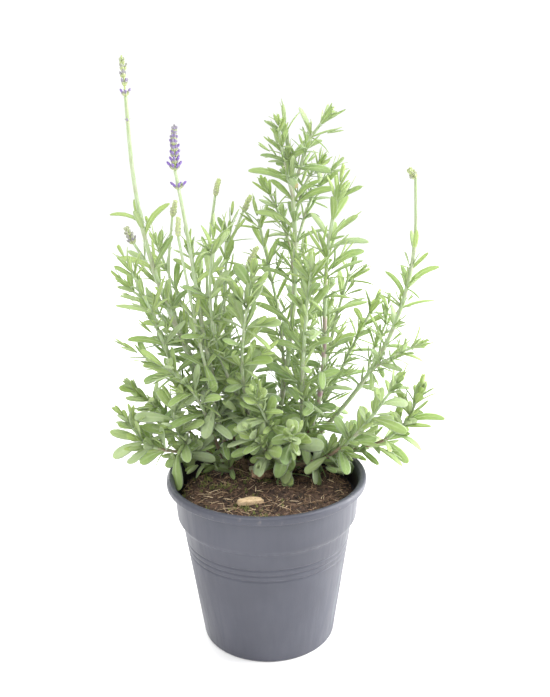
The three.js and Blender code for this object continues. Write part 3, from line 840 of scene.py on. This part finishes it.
leafyShoots = stemTable(201, {
    "shoot_tall": (
        "woody_stem_middle", 0.98, (1, -1, 6), (18, 26, 382), (-1, 0, 8), 1.5, 14, 33, 5, 95, (0.08, 0.04),
    ),
    "shoot_tall_branch_right": (
        "shoot_tall", 0.82, (1, -1, 2), (43, 11, 386), (1, 0, 1), 0.9, 4, 24, 4.5, 80, (0.3, 0.04),
    ),
    "shoot_tall_branch_left": (
        "shoot_tall", 0.79, (-1, -2, 4), (13, 12, 382), (-1, 0, 6), 0.9, 4, 20, 4.5, 10, (0.3, 0.04),
    ),
    "shoot_tall_branch_high": (
        "shoot_tall", 0.72, (1, 1, 3), (42, 38, 355), (1, 0, 1), 0.8, 4, 18, 3.5, 45, (0.3, 0.04),
    ),
    "shoot_tall_branch_back": (
        "shoot_tall", 0.63, (1, 1, 3), (52, 44, 350), (1, 0, 1), 0.9, 4, 22, 4.5, 20, (0.35, 0.04),
    ),
    "shoot_tall_branch_low": (
        "shoot_tall", 0.5, (0, 1, 2), (5, 40, 336), (-1, 0, 2), 0.9, 6, 23, 5, 60, (0.2, 0.04),
    ),
    "shoot_second": (
        "woody_stem_right", 0.98, (1, -1, 3), (54, 12, 338), (1, 0, 4), 1.4, 13, 35, 5.5, 72, (0.06, 0.04),
    ),
    "shoot_right_back": (
        "woody_stem_right", 0.55, (1, 1, 2), (66, 55, 270), (1, 0, 3), 1.1, 10, 30, 5, 30, (0.1, 0.04),
    ),
    "shoot_right_upper": (
        "flower_stem_right", 0.35, (0, 1, 1), (96, 54, 242), (0, 0, 1), 0.8, 5, 22, 3.5, 50, (0.2, 0.04),
    ),
    "shoot_right_outer": (
        "flower_stem_right", 0.31, (1, -2, 3), (110, 12, 224), (2, 0, 1), 0.8, 5, 20, 4, 15, (0.3, 0.04),
    ),
    "shoot_front_right": (
        "woody_stem_front", 0.74, (1, 0, 0), (92, -12, 200), (2, 0, 3), 1.2, 9, 27, 8, 20, (0.22, 0.04),
    ),
    "shoot_low_right": (
        "woody_stem_right", 0.42, (3, 0, 1), (113, 5, 186), (1, 0, 4), 1.1, 10, 27, 7.5, 70, (0.14, 0.04),
    ),
    "shoot_front_low": (
        "woody_stem_front", 0.56, (0, -1, 2), (-8, -14, 165), (-1, -1, 2), 1.1, 5, 24, 9.5, 45, (0.3, 0.04),
    ),
    "shoot_front_rosette": (
        "woody_stem_front", 0.98, (1, -1, 2), (19, -16, 166), (0, -1, 1), 1.1, 5, 25, 9.5, 0, (0.35, 0.04),
    ),
    "shoot_front_upper": (
        "woody_stem_middle", 0.86, (0, -2, 1), (-5, -16, 194), (-1, -1, 3), 1.2, 6, 25, 8, 30, (0.3, 0.04),
    ),
    "shoot_low_left": (
        "woody_stem_low_left", 0.98, (-2, -1, 1), (-98, -4, 170), (-1, 0, 2), 1.1, 6, 28, 8.5, 60,
        (0.15, 0.04),
    ),
    "shoot_low_left_back": (
        "woody_stem_low_left", 0.85, (-1, 1, 1), (-99, 32, 186), (-1, 0, 1), 1, 6, 24, 7, 25, (0.35, 0.04),
    ),
    "shoot_low_left_upright": (
        "woody_stem_low_left", 0.63, (-2, -1, 1), (-62, -4, 194), (1, 0, 2), 1, 6, 28, 7, 80, (0.3, 0.04),
    ),
    "shoot_left_rear": (
        "woody_stem_back", 0.46, (-2, 0, 3), (-82, 66, 294), (-1, 0, 3), 1.1, 10, 30, 5, 50, (0.1, 0.04),
    ),
    "shoot_left_forward": (
        "woody_stem_left", 0.83, (-3, 0, 2), (-89, -22, 292), (-1, 0, 2), 1.1, 10, 30, 5, 15, (0.08, 0.04),
    ),
    "shoot_left_outer": (
        "woody_stem_back", 0.72, (-2, 0, 3), (-102, 42, 266), (-1, 0, 1), 1.1, 10, 30, 5, 70, (0.12, 0.04),
    ),
    "shoot_left_lower": (
        "woody_stem_low_left", 0.6, (-1, -1, 3), (-84, -20, 230), (-2, 0, 1), 1.1, 10, 30, 5.5, 35,
        (0.12, 0.04),
    ),
    "shoot_back_left": (
        "woody_stem_back", 0.98, (-2, 1, 3), (-56, 68, 286), (-1, 0, 6), 1.1, 10, 29, 5, 85, (0.08, 0.04),
    ),
    "shoot_inner_left": (
        "woody_stem_middle", 0.6, (-1, -1, 2), (-33, -18, 308), (1, -1, 6), 1.1, 10, 31, 6, 40, (0.12, 0.04),
    ),
    "shoot_inner_middle": (
        "woody_stem_middle", 0.8, (-2, 0, 3), (-23, 18, 310), (1, 0, 6), 1, 10, 29, 5, 5, (0.12, 0.04),
    ),
    "shoot_back_middle": (
        "woody_stem_back", 0.26, (1, 0, 3), (-3, 46, 315), (-1, 0, 5), 1.1, 12, 30, 5, 25, (0.1, 0.04),
    ),
    "shoot_front_tall": (
        "woody_stem_front", 0.84, (-2, 0, 3), (-7, -20, 282), (1, -1, 5), 1.2, 9, 33, 9, 55, (0.1, 0.04),
    ),
    "shoot_middle_right": (
        "woody_stem_right", 0.77, (0, -1, 2), (34, -8, 285), (1, -1, 8), 1.1, 10, 30, 6, 10, (0.1, 0.04),
    ),
    "shoot_back_right": (
        "woody_stem_back_right", 0.98, (0, 1, 6), (33, 72, 280), (0, 0, 1), 1.1, 10, 29, 5, 65, (0.08, 0.04),
    ),
    "shoot_back_outer": (
        "woody_stem_back_right", 0.62, (2, 1, 3), (86, 74, 238), (1, 0, 2), 1.1, 9, 28, 5.5, 0, (0.15, 0.04),
    ),
})
bendLook = {"hold": 0.4, "bends": 6}  # how far each end's heading carries, and the bends between


def growPaths():
    # each stem's path is one cubic bend from its start on the parent to its own tip
    paths = {node: path for node, (_, path) in woodyStems.items()}
    for table in (flowerStems, leafyShoots):
        for node, stem in table.items():
            foot, tip = Route(paths[stem["from"]]).at(stem["start"]) / mm, Vector(stem["tip"])
            hold = bendLook["hold"] * (tip - foot).length
            low = foot + Vector(stem["leave"]).normalized() * hold
            high = tip - Vector(stem["arrive"]).normalized() * hold
            path = []
            for bend in range(bendLook["bends"] + 1):
                late = bend / bendLook["bends"]
                early = 1 - late
                path.append(
                    foot * early ** 3 + low * 3 * early ** 2 * late
                    + high * 3 * early * late ** 2 + tip * late ** 3
                )
            stem["path"] = paths[node] = path


growPaths()

leafLook = {
    "rings": (0, 0.13, 0.32, 0.54, 0.75, 0.9, 0.97, 1),  # where a full leaf bends
    "smallRings": (0, 0.25, 0.52, 0.77, 0.94, 1),
    "sides": 8, "smallSides": 6,
    "thickness": 0.55, "keel": 0.35, "blunt": 0.2,
    "fold": 0.3, "roll": 0.3,  # shares of the half width
    "linear": 4.4, "paddle": 6.8,  # the widths at which a leaf is parallel sided or widest near its tip
}
sprigLook = {
    "roll": 28, "standoutRoll": 50,  # degrees
    "chance": (0.95, 0.6), "leafShare": (0.48, 0.84), "widthShare": (0.5, 0.74),
    "tipShare": 0.55, "tipWidth": 0.75, "tipPairs": 3,
    "open": (40, 14), "openTip": (26, 8),
    "axis": (0.25, 0.62),  # the length of a side shoot by the length of its leaves
    "silvery": (
        "shoot_low_left", "shoot_low_left_back", "shoot_low_left_upright", "shoot_front_low",
    ),
    "silverShare": 0.5,
}
tuftLook = {
    # side shoots low on the wood: how many on each stem, where they start and the length of their leaves
    "perStem": 9, "from": 0.3, "size": (13, 23), "width": 6.4, "pairs": 3, "tone": 0.9, "seed": 411,
    "bare": ("cut_stub",),
}


fullLeaf = flatTube("fullLeaf", leafLook["sides"], leafLook["rings"])
smallLeaf = flatTube("smallLeaf", leafLook["smallSides"], leafLook["smallRings"])


def leafWidthAt(reach, paddle):
    # share of the half width: a narrow foot, parallel or paddle shaped sides, a blunt round tip
    widest = between(0.5, 0.68, paddle)
    if reach < widest:
        share = math.sin(reach / widest * math.pi / 2) ** between(0.6, 1.5, paddle)
        return between(between(0.34, 0.18, paddle), 1, share)
    share = (reach - widest) / (1 - widest)
    return max(leafLook["blunt"], math.sqrt(1 - min(1, share ** 2.8)))


leafLayers = ("along", "across", "tint", "age", "dry")
floretLayers = ("along", "bloom", "tint")


def shapeLeaf(bm, frameAt, leaf, template):
    # frameAt gives the midrib's point, the way across and the way up for a share of the length
    layers = [bm.verts.layers.float[name] for name in leafLayers]
    paddle = leaf.get("paddle", smoothRise(leafLook["linear"], leafLook["paddle"], leaf["width"]))
    stout = mm * min(1, leaf["length"] / 16)
    frames = {}
    for vert, place in addCopy(bm, template):
        key = round(place.y, 3)
        if key not in frames:
            frames[key] = (*frameAt(place.y), leaf["width"] / 2 * mm * leafWidthAt(place.y, paddle))
        middle, side, up, half = frames[key]
        x = place.x
        lift = (leaf.get("fold", leafLook["fold"]) * abs(x) - leafLook["roll"] * x * x) * half
        lift += place.z * leafLook["thickness"] * stout / 2 * (1 - 0.5 * place.y)
        if place.z < -0.9:
            lift -= leafLook["keel"] * stout * (1 - place.y)
        vert.co = middle + side * (x * half) + up * lift
        values = (place.y, x, leaf["tint"], leaf["age"], leaf.get("dry", 0) * smoothRise(0.72, 1, place.y))
        for layer, value in zip(layers, values):
            vert[layer] = value


def addLeaf(bm, foot, along, out, leaf, template=fullLeaf):
    # the leaf arches in the plane of along and out, then twists, sways and droops a little
    length = leaf["length"] * mm
    across = out.cross(along)

    def frameAt(reach):
        swing = math.radians(leaf["bend"]) * reach
        lean = math.radians(leaf["spread"]) + swing / 2
        chord = length * reach * (math.sin(swing / 2) / (swing / 2) if abs(swing) > 1e-3 else 1)
        facing = math.radians(leaf["spread"]) + swing
        roll = math.radians(leaf.get("roll", 0) + leaf.get("twist", 0) * reach)
        twist = Quaternion(along * math.cos(facing) + out * math.sin(facing), roll)
        middle = foot + along * chord * math.cos(lean) + out * chord * math.sin(lean)
        middle += (across * leaf.get("sway", 0) - upward * leaf.get("droop", 0)) * length * reach * reach
        return middle, twist @ across, twist @ (along * math.sin(facing) - out * math.cos(facing))

    shapeLeaf(bm, frameAt, leaf, template)


def rollOf(turn, most):
    # a leaf that points sideways rolls its upper face towards the open side of the pot
    return -most * math.sin(math.radians(turn))


def leavesOf(shoot):
    # pairs stand a quarter turn apart; the old ones lean out and arch, the young ones stand up
    draw = drawer(shoot["seed"])
    below, above = shoot["bare"]
    leaves = []
    for pair in range(shoot["pairs"]):
        rise = pair / (shoot["pairs"] - 1)
        full = shoot["leaf"] * (0.86 + 0.9 * rise * (1 - rise) - 0.24 * rise)
        for side in range(2):
            leaves.append({
                "at": below + (1 - below - above) * rise ** 0.9,
                "rise": rise,
                "turn": shoot["turn"] + 90 * pair + 180 * side + 26 * (draw() - 0.5),
                "spread": 58 - 32 * rise + 18 * (draw() - 0.5),
                "bend": 44 - 30 * rise + 40 * (draw() - 0.5),
                "length": full * (0.84 + 0.32 * draw()),
                "width": shoot["width"] * (1.25 - 0.25 * rise),
            })
    return leaves


leafSides = {"left": 90, "front": 180, "right": 270}  # turn round the stem, degrees
leafPostures = {
    # spread and bend in degrees, length and width in mm, and the part of the stem that these leaves grow on
    "paired": {"spread": 30, "bend": 60, "length": 28, "width": 4.5, "span": (0.6, 0.68)},
    "arched": {"spread": 30, "bend": 60, "length": 32, "width": 6, "span": (0.66, 0.92)},
    "hanging": {"spread": 125, "bend": 0, "length": 26, "width": 9, "span": (0.25, 0.6)},
    "level": {"spread": 75, "bend": 20, "length": 28, "width": 8, "span": (0.5, 0.85)},
    "upright": {"spread": 20, "bend": 0, "length": 24, "width": 6, "span": (0.8, 0.95)},
}
standoutLeaves = {
    # single leaves that catch the eye, as side and posture, from low on the stem to high
    "flower_stem_tall": ("right paired", "left paired"),
    "flower_stem_front": ("front hanging", "front hanging"),
    "flower_stem_short": ("right upright",),
    "flower_stem_purple": ("right paired", "right paired"),
    "flower_stem_right": ("left paired", "right paired"),
    "shoot_tall": ("left arched", "right arched", "left arched", "right arched"),
    "shoot_second": ("right arched", "right arched", "front upright"),
    "shoot_front_low": ("front hanging", "front hanging", "left level"),
    "shoot_front_right": ("front hanging", "right level"),
    "shoot_front_rosette": ("front hanging",),
    "shoot_low_left": ("front hanging", "left hanging", "left level"),
    "shoot_low_left_upright": ("left hanging", "left level"),
    "shoot_low_right": ("right hanging", "right level", "right arched", "left upright"),
}


def addSprig(bm, foot, heading, size, width, pairs, draw, tone, silver=1.0, opened=sprigLook["open"]):
    # a bud or short side shoot: small leaves in pairs on a short axis
    away = sideways(heading)
    length = size * pairs / 2 * between(*sprigLook["axis"], draw()) * mm
    first = 90 * draw()
    for pair in range(pairs):
        share = pair / max(1, pairs - 1)
        for side in range(2):
            turn = math.radians(first + 90 * pair + 180 * side + 30 * (draw() - 0.5))
            out = Quaternion(heading, turn) @ away
            leaf = {
                "length": size * between(1, 0.62, share) * between(0.8, 1.15, draw()),
                "width": width * between(1, 0.7, share),
                "spread": between(*opened, share) + 16 * (draw() - 0.5),
                "bend": between(22, -4, share) + 30 * (draw() - 0.5),
                "fold": 0.42, "tint": draw() * silver, "age": tone * between(0.8, 0.35, share),
                "twist": 40 * (draw() - 0.5),
            }
            addLeaf(bm, foot + heading * length * share, heading, out, leaf, smallLeaf)


leafTones = {
    "young": rgb(0.44, 0.56, 0.17), "grown": rgb(0.26, 0.39, 0.115), "shade": rgb(0.13, 0.23, 0.085),
    "silver": rgb(0.5, 0.58, 0.42), "rib": rgb(0.6, 0.68, 0.42), "dry": rgb(0.5, 0.4, 0.2),
    "glow": rgb(0.54, 0.68, 0.2),
}


def attributeValue(tree, name):
    return addNode(tree, "Attribute", attribute_name=name).outputs["Fac"]


def leafMaterial():
    material, tree, shader = newMaterial("downyLeaf", 0.62, **{"Sheen Weight": 0.25, "Sheen Roughness": 0.5})
    point = objectPoint(tree)
    along, across = attributeValue(tree, "along"), attributeValue(tree, "across")
    tint, age, dry = attributeValue(tree, "tint"), attributeValue(tree, "age"), attributeValue(tree, "dry")
    mottled = noiseAt(tree, 260, 4, point)
    down = noiseAt(tree, 2600, 2, point)
    colour = mixed(tree, age, leafTones["young"], leafTones["grown"])
    colour = mixed(tree, spread(tree, tint, 0.55, 1, 0, 0.6), colour, leafTones["shade"])
    colour = mixed(tree, spread(tree, tint, 0.42, 0, 0, 0.55), colour, leafTones["silver"])
    colour = mixed(tree, spread(tree, mottled, 0.4, 0.75, 0, 0.35), colour, leafTones["young"])
    offRib = worked(tree, "ABSOLUTE", across)
    rib = worked(tree, "MULTIPLY", spread(tree, offRib, 0.26, 0.02), spread(tree, along, 1, 0.1, 0.1, 0.75))
    colour = mixed(tree, rib, colour, leafTones["rib"])
    # fine grey down shows in patches and makes a pale margin
    felt = spread(tree, down, 0.45, 0.7, 0, 0.5)
    felt = worked(tree, "MULTIPLY", felt, spread(tree, offRib, 0.3, 1, 0.3, 0.8))
    margin = spread(tree, offRib, 0.7, 0.97, 0, 0.75)
    colour = mixed(tree, worked(tree, "MAXIMUM", felt, margin), colour, leafTones["silver"])
    parched = spread(tree, worked(tree, "ADD", dry, spread(tree, mottled, 0.3, 0.7, -0.2, 0.2)), 0.35, 0.6)
    colour = mixed(tree, parched, colour, leafTones["dry"])
    # side veins slant from the midrib to the margin
    lean = worked(tree, "MULTIPLY", offRib, 7.0)
    veins = worked(tree, "SINE", worked(tree, "SUBTRACT", worked(tree, "MULTIPLY", along, 46.0), lean))
    normal = bumped(tree, veins, 0.25, 0.0002)
    normal = bumped(tree, rib, 0.5, 0.0004, normal)
    normal = bumped(tree, down, 0.35, 0.00025, normal)
    finishSurface(tree, shader, colour, spread(tree, down, 0.3, 0.7, 0.5, 0.72), normal)
    letLightThrough(tree, shader, mixed(tree, 0.55, colour, leafTones["glow"]), normal, 0.32)
    return material


stemTones = {
    "woody": rgb(0.27, 0.19, 0.12), "mauve": rgb(0.36, 0.2, 0.25), "pale": rgb(0.3, 0.4, 0.19),
    "silver": rgb(0.44, 0.52, 0.35),
}


def stemMaterial(name, blush):
    material, tree, shader = newMaterial(name, 0.65, **{"Sheen Weight": 0.3, "Sheen Roughness": 0.5})
    point = objectPoint(tree)
    rise, woody = attributeValue(tree, "rise"), attributeValue(tree, "woody")
    patchy = noiseAt(tree, 140, 4, point)
    down = noiseAt(tree, 2400, 2, point)
    lengthwise = noiseAt(tree, 1500, 3, stretched(tree, point, (1, 1, 0.08)))
    colour = mixed(tree, spread(tree, lengthwise, 0.4, 0.7), stemTones["pale"], stemTones["silver"])
    tinged = spread(tree, rise, 1, 0.2, 0.1, blush)
    tinged = worked(tree, "MULTIPLY", spread(tree, patchy, 0.42, 0.62), tinged)
    colour = mixed(tree, tinged, colour, stemTones["mauve"])
    barked = spread(tree, worked(tree, "ADD", woody, spread(tree, patchy, 0.3, 0.7, -0.25, 0.25)), 0.3, 0.75)
    colour = mixed(tree, barked, colour, stemTones["woody"])
    colour = mixed(tree, spread(tree, down, 0.5, 0.75, 0, 0.35), colour, stemTones["silver"])
    rough = spread(tree, lengthwise, 0.3, 0.7, 0.52, 0.78)
    normal = bumped(tree, lengthwise, 0.5, 0.0003)
    finishSurface(tree, shader, colour, rough, bumped(tree, down, 0.3, 0.0002, normal))
    return material


flowerTones = {
    "calyx": rgb(0.48, 0.5, 0.31), "calyxTip": rgb(0.16, 0.1, 0.26), "petal": rgb(0.15, 0.07, 0.36),
    "petalPale": rgb(0.36, 0.24, 0.62), "green": rgb(0.5, 0.62, 0.22), "straw": rgb(0.62, 0.56, 0.38),
}


def flowerMaterial():
    # "bloom" runs from a green bud at 0 to open violet at 1
    sheen = {"Sheen Weight": 0.4, "Sheen Roughness": 0.5}
    material, tree, shader = newMaterial("lavenderBloom", 0.7, **sheen)
    point = objectPoint(tree)
    along, bloom, tint = (attributeValue(tree, name) for name in floretLayers)
    down = noiseAt(tree, 2600, 3, point)
    calyx = mixed(tree, spread(tree, tint, 0, 1, 0, 0.6), flowerTones["green"], flowerTones["calyx"])
    calyx = mixed(tree, spread(tree, down, 0.5, 0.7, 0, 0.5), calyx, flowerTones["straw"])
    violet = worked(tree, "MULTIPLY", bloom, spread(tree, along, 0.15, 0.6))
    colour = mixed(tree, violet, calyx, flowerTones["calyxTip"])
    petal = mixed(tree, spread(tree, down, 0.35, 0.7), flowerTones["petal"], flowerTones["petalPale"])
    colour = mixed(tree, worked(tree, "MULTIPLY", bloom, spread(tree, along, 0.52, 0.6)), colour, petal)
    normal = bumped(tree, down, 0.6, 0.0003)
    finishSurface(tree, shader, colour, spread(tree, down, 0.3, 0.7, 0.55, 0.85), normal)
    letLightThrough(tree, shader, colour, normal, 0.2)
    return material


shootLook = {
    "stemSides": 10, "square": 0.09, "stepLength": 0.0022, "jointSwell": 0.22, "jointReach": 0.006,
    "taper": 0.36, "widen": 1.25, "widenFlower": 1.75,
    "blushed": ("shoot_second", "shoot_tall_branch_low", "shoot_low_right"),
}


def jointPlaces(shoot):
    return sorted({round(leaf["at"], 5) for leaf in leavesOf(shoot)})


def makeStem(node, shoot, material):
    route = Route(shoot["path"])
    joints = jointPlaces(shoot)
    look = shootLook
    widen = look["widenFlower"] if "head" in shoot else look["widen"]

    def radiusAt(share):
        swell = 0
        for joint in joints:
            away = abs(share - joint) * route.length / look["jointReach"]
            swell = max(swell, look["jointSwell"] * max(0, 1 - away) ** 2)
        return shoot["radius"] * mm * widen * (1 - look["taper"] * share) * (1 + swell)

    bm = bmesh.new()
    steps = max(24, int(route.length / look["stepLength"]))
    sweepStem(bm, route, radiusAt, look["stemSides"], steps, look["square"])
    riseLayer = bm.verts.layers.float["rise"]
    woodyLayer = bm.verts.layers.float.new("woody")
    for vert in bm.verts:
        vert[woodyLayer] = 1 - smoothRise(0.128, 0.178, vert.co.z)
        vert.co += noise.noise_vector(vert.co * 160) * 0.12 * mm * (1 - vert[riseLayer])
    placePiece(node + "_stem", bm, [material], [node])
    return route


def makeLeaves(node, shoot, route, material):
    bm = newLayers(leafLayers)
    extra = drawer(shoot["seed"] + 500)
    look = sprigLook
    silver = look["silverShare"] if node in look["silvery"] else 1.0
    slim = between(*look["widthShare"], smoothRise(5.2, 7, shoot["width"]))
    for leaf in leavesOf(shoot):
        heading = route.heading(leaf["at"])
        foot = route.at(leaf["at"])
        out = Quaternion(heading, math.radians(leaf["turn"])) @ sideways(heading)
        leaf["tint"] = extra() * silver
        leaf["age"] = min(1, max(0, 1 - 0.75 * leaf["rise"] + 0.5 * (extra() - 0.5)))
        leaf["twist"] = 70 * (extra() - 0.5)
        leaf["roll"] = rollOf(leaf["turn"], look["roll"])
        leaf["droop"] = 0.1 * extra()
        leaf["sway"] = 0.16 * (extra() - 0.5)
        leaf["fold"] = between(0.05, 0.5, extra())
        leaf["dry"] = 0.6 if extra() < 0.015 * (1 - leaf["rise"]) else 0
        addLeaf(bm, foot, heading, out, leaf)
        if extra() < between(*look["chance"], leaf["rise"]):
            lean = math.radians(between(22, 48, extra()))
            turned = Quaternion(heading, math.radians(50 * (extra() - 0.5))) @ out
            side = (heading * math.cos(lean) + turned * math.sin(lean)).normalized()
            size = shoot["leaf"] * between(*look["leafShare"], extra())
            pairs = 3 if extra() > 0.25 + 0.6 * leaf["rise"] else 2
            addSprig(bm, foot, side, size, shoot["width"] * slim, pairs, extra, leaf["age"], silver)
    standouts = standoutLeaves.get(node, ())
    for index, name in enumerate(standouts):
        side, posture = name.split()
        posture = leafPostures[posture]
        at = between(*posture["span"], (index + 0.5) / len(standouts))
        turn = leafSides[side] + 50 * (extra() - 0.5)
        grown = between(0.82, 1.16, extra())
        heading = route.heading(at)
        leaf = {
            "spread": posture["spread"] + 24 * (extra() - 0.5), "bend": posture["bend"],
            "length": posture["length"] * grown, "width": posture["width"] * grown, "fold": 0.2,
            "tint": extra() * silver, "age": extra(), "twist": 24 * (extra() - 0.5),
            "roll": rollOf(turn, look["standoutRoll"]),
        }
        out = Quaternion(heading, math.radians(turn)) @ sideways(heading)
        addLeaf(bm, route.at(at), heading, out, leaf)
    if "head" not in shoot:
        size = shoot["leaf"] * look["tipShare"]
        width = shoot["width"] * look["tipWidth"]
        top, heading = route.at(0.985), route.heading(1)
        addSprig(bm, top, heading, size, width, look["tipPairs"], extra, 0.5, silver, look["openTip"])
    placePiece(node + "_leaves", bm, [material], [node])


headKinds = {
    # whorls as shares of the head, florets in each, their length and lean at the bottom and top whorl,
    # how far they are open there, and lone whorls: millimetres below the head, florets, length, bloom
    "full": {
        "whorls": (0.01, 0.15, 0.29, 0.42, 0.54, 0.65, 0.75, 0.84), "florets": 6, "length": (6.8, 3.4),
        "lean": (40, 14), "bloom": (1, 0.4), "thick": 1.15, "lone": ((12.5, 5, 6.6, 1),),
    },
    "sparse": {
        "whorls": (0.02, 0.26, 0.46, 0.62, 0.76), "florets": 4, "length": (5.4, 5),
        "lean": (30, 12), "bloom": (0.75, 0.05), "thick": 1.05, "lone": ((16.5, 2, 4, 0.6),),
    },
    "bud": {
        "whorls": (0.02, 0.2, 0.38, 0.55, 0.7), "florets": 6, "length": (4.6, 3.6),
        "lean": (20, 4), "bloom": (0.14, 0), "thick": 1.0, "lone": (),
    },
    "mauve": {
        "whorls": (0, 0.24, 0.46, 0.66, 0.82), "florets": 5, "length": (5.4, 4),
        "lean": (34, 10), "bloom": (0.42, 0.06), "thick": 1.05, "lone": (),
    },
    "curled": {
        "whorls": (0, 0.24, 0.46, 0.66), "florets": 5, "length": (4.6, 3.6),
        "lean": (36, 16), "bloom": (0.2, 0), "thick": 0.95, "lone": (),
    },
}
floretRings = (  # share of the length, share of the radius: a ribbed calyx, then the closed petals
    (0, 0.3), (0.1, 0.72), (0.28, 1), (0.46, 0.96), (0.55, 0.8),
    (0.58, 0.66), (0.76, 0.84), (0.92, 0.6), (1, 0.2),
)
loneWhorl = {"lean": 50, "bractLean": 40, "bractShare": 0.8}
floretShape = flatTube("floret", 8, [share for share, _ in floretRings])


def addFloret(bm, foot, heading, length, radius, bloom, tint):
    layers = [bm.verts.layers.float[name] for name in floretLayers]
    girth = dict((round(share, 3), size) for share, size in floretRings)
    frame = heading.to_track_quat("Y", "Z")
    for vert, place in addCopy(bm, floretShape):
        angle = math.atan2(place.z, place.x)
        ribbed = 1 + 0.12 * math.cos(4 * angle) * smoothRise(0.62, 0.4, place.y)
        size = girth[round(place.y, 3)] * radius * ribbed
        vert.co = foot + frame @ Vector((place.x * size, place.y * length, place.z * size))
        for layer, value in zip(layers, (place.y, bloom, tint)):
            vert[layer] = value


def addWhorl(bm, foot, heading, florets, length, lean, radius, bloom, draw):
    away = sideways(heading)
    first = 360 * draw()
    for count in range(florets):
        turn = math.radians(first + 360 / florets * (count + 0.35 * (draw() - 0.5)))
        out = Quaternion(heading, turn) @ away
        tilt = math.radians(lean + 16 * (draw() - 0.5))
        aim = (heading * math.cos(tilt) + out * math.sin(tilt)).normalized()
        reach = length * between(0.82, 1.12, draw())
        opened = bloom * between(0.75, 1, draw())
        addFloret(bm, foot + out * 0.5 * mm, aim, reach * mm, radius * mm, opened, draw())


def addBracts(bm, foot, heading, size, lean, draw):
    away = sideways(heading)
    first = 360 * draw()
    for side in range(2):
        out = Quaternion(heading, math.radians(first + 180 * side)) @ away
        leaf = {
            "length": size, "width": size * 0.5, "spread": lean, "bend": 10, "fold": 0.7,
            "paddle": 0, "tint": draw(), "age": 0.2,
        }
        addLeaf(bm, foot, heading, out, leaf, smallLeaf)


def headRoute(stem):
    end = Vector(stem["tip"])
    top = end + Vector(stem["head"])
    before = Vector(stem["path"][-2])
    middle = (end + top) / 2 + (end - before).normalized() * 0.08 * (top - end).length
    return Route((end, middle, top))


def makeHead(node, stem, bloomMaterial, leafy):
    kind = headKinds[stem["kind"]]
    draw = drawer(stem["seed"] + 900)
    route = headRoute(stem)
    bm = newLayers(floretLayers)
    green = newLayers(leafLayers)
    sweepStem(bm, route, lambda share: 0.75 * mm * (1 - 0.6 * share), 8, 14)
    for share in kind["whorls"]:
        length, lean = between(*kind["length"], share), between(*kind["lean"], share)
        length = min(length, max(2.2, route.length / mm * (1.02 - share)))
        bloom = between(*kind["bloom"], share)
        foot, heading = route.at(share), route.heading(share)
        addWhorl(bm, foot, heading, kind["florets"], length, lean, kind["thick"], bloom, draw)
        addBracts(green, foot, heading, length * 0.62, lean + 12, draw)
    tip = between(*kind["bloom"], 1)
    addFloret(bm, route.at(0.86), route.heading(0.9), 0.14 * route.length + 0.2 * mm, 0.9 * mm, tip, draw())
    stemRoute = Route(stem["path"])
    for below, florets, length, bloom in kind["lone"]:
        share = 1 - below * mm / stemRoute.length
        foot, heading = stemRoute.at(share), stemRoute.heading(share)
        addWhorl(bm, foot, heading, florets, length, loneWhorl["lean"], kind["thick"], bloom, draw)
        addBracts(green, foot, heading, length * loneWhorl["bractShare"], loneWhorl["bractLean"], draw)
    headNode = node.replace("stem", "head")
    placePiece(headNode + "_florets", bm, [bloomMaterial], [headNode])
    placePiece(headNode + "_bracts", green, [leafy], [headNode])


def makeTufts(leafy):
    # leafy side shoots on the old wood hide most of it
    look = tuftLook
    for count, (node, (_, path)) in enumerate(woodyStems.items()):
        if node in look["bare"]:
            continue
        draw = drawer(look["seed"] + count)
        route = Route(path)
        bm = newLayers(leafLayers)
        for tuft in range(look["perStem"]):
            share = between(look["from"], 1, (tuft + draw()) / look["perStem"])
            heading = route.heading(share)
            out = Quaternion(heading, 2.4 * tuft + draw()) @ sideways(heading)
            lean = math.radians(between(35, 75, draw()))
            side = (heading * math.cos(lean) + out * math.sin(lean)).normalized()
            size = between(*look["size"], draw())
            silver = 0.55 if draw() < 0.4 else 1.0
            width = look["width"] * between(0.8, 1.15, draw())
            addSprig(bm, route.at(share), side, size, width, look["pairs"], draw, look["tone"], silver)
        placePiece(node + "_leaves", bm, [leafy], [node])


def growShoots():
    leafy = leafMaterial()
    bloom = flowerMaterial()
    plain, blushed = stemMaterial("downyStem", 0.4), stemMaterial("blushedStem", 1)
    for node, shoot in leafyShoots.items():
        route = makeStem(node, shoot, blushed if node in shootLook["blushed"] else plain)
        makeLeaves(node, shoot, route, leafy)
    for node, shoot in flowerStems.items():
        route = makeStem(node, shoot, plain)
        makeLeaves(node, shoot, route, leafy)
        makeHead(node, shoot, bloom, leafy)
    makeTufts(leafy)


growShoots()
print("shoots ready")
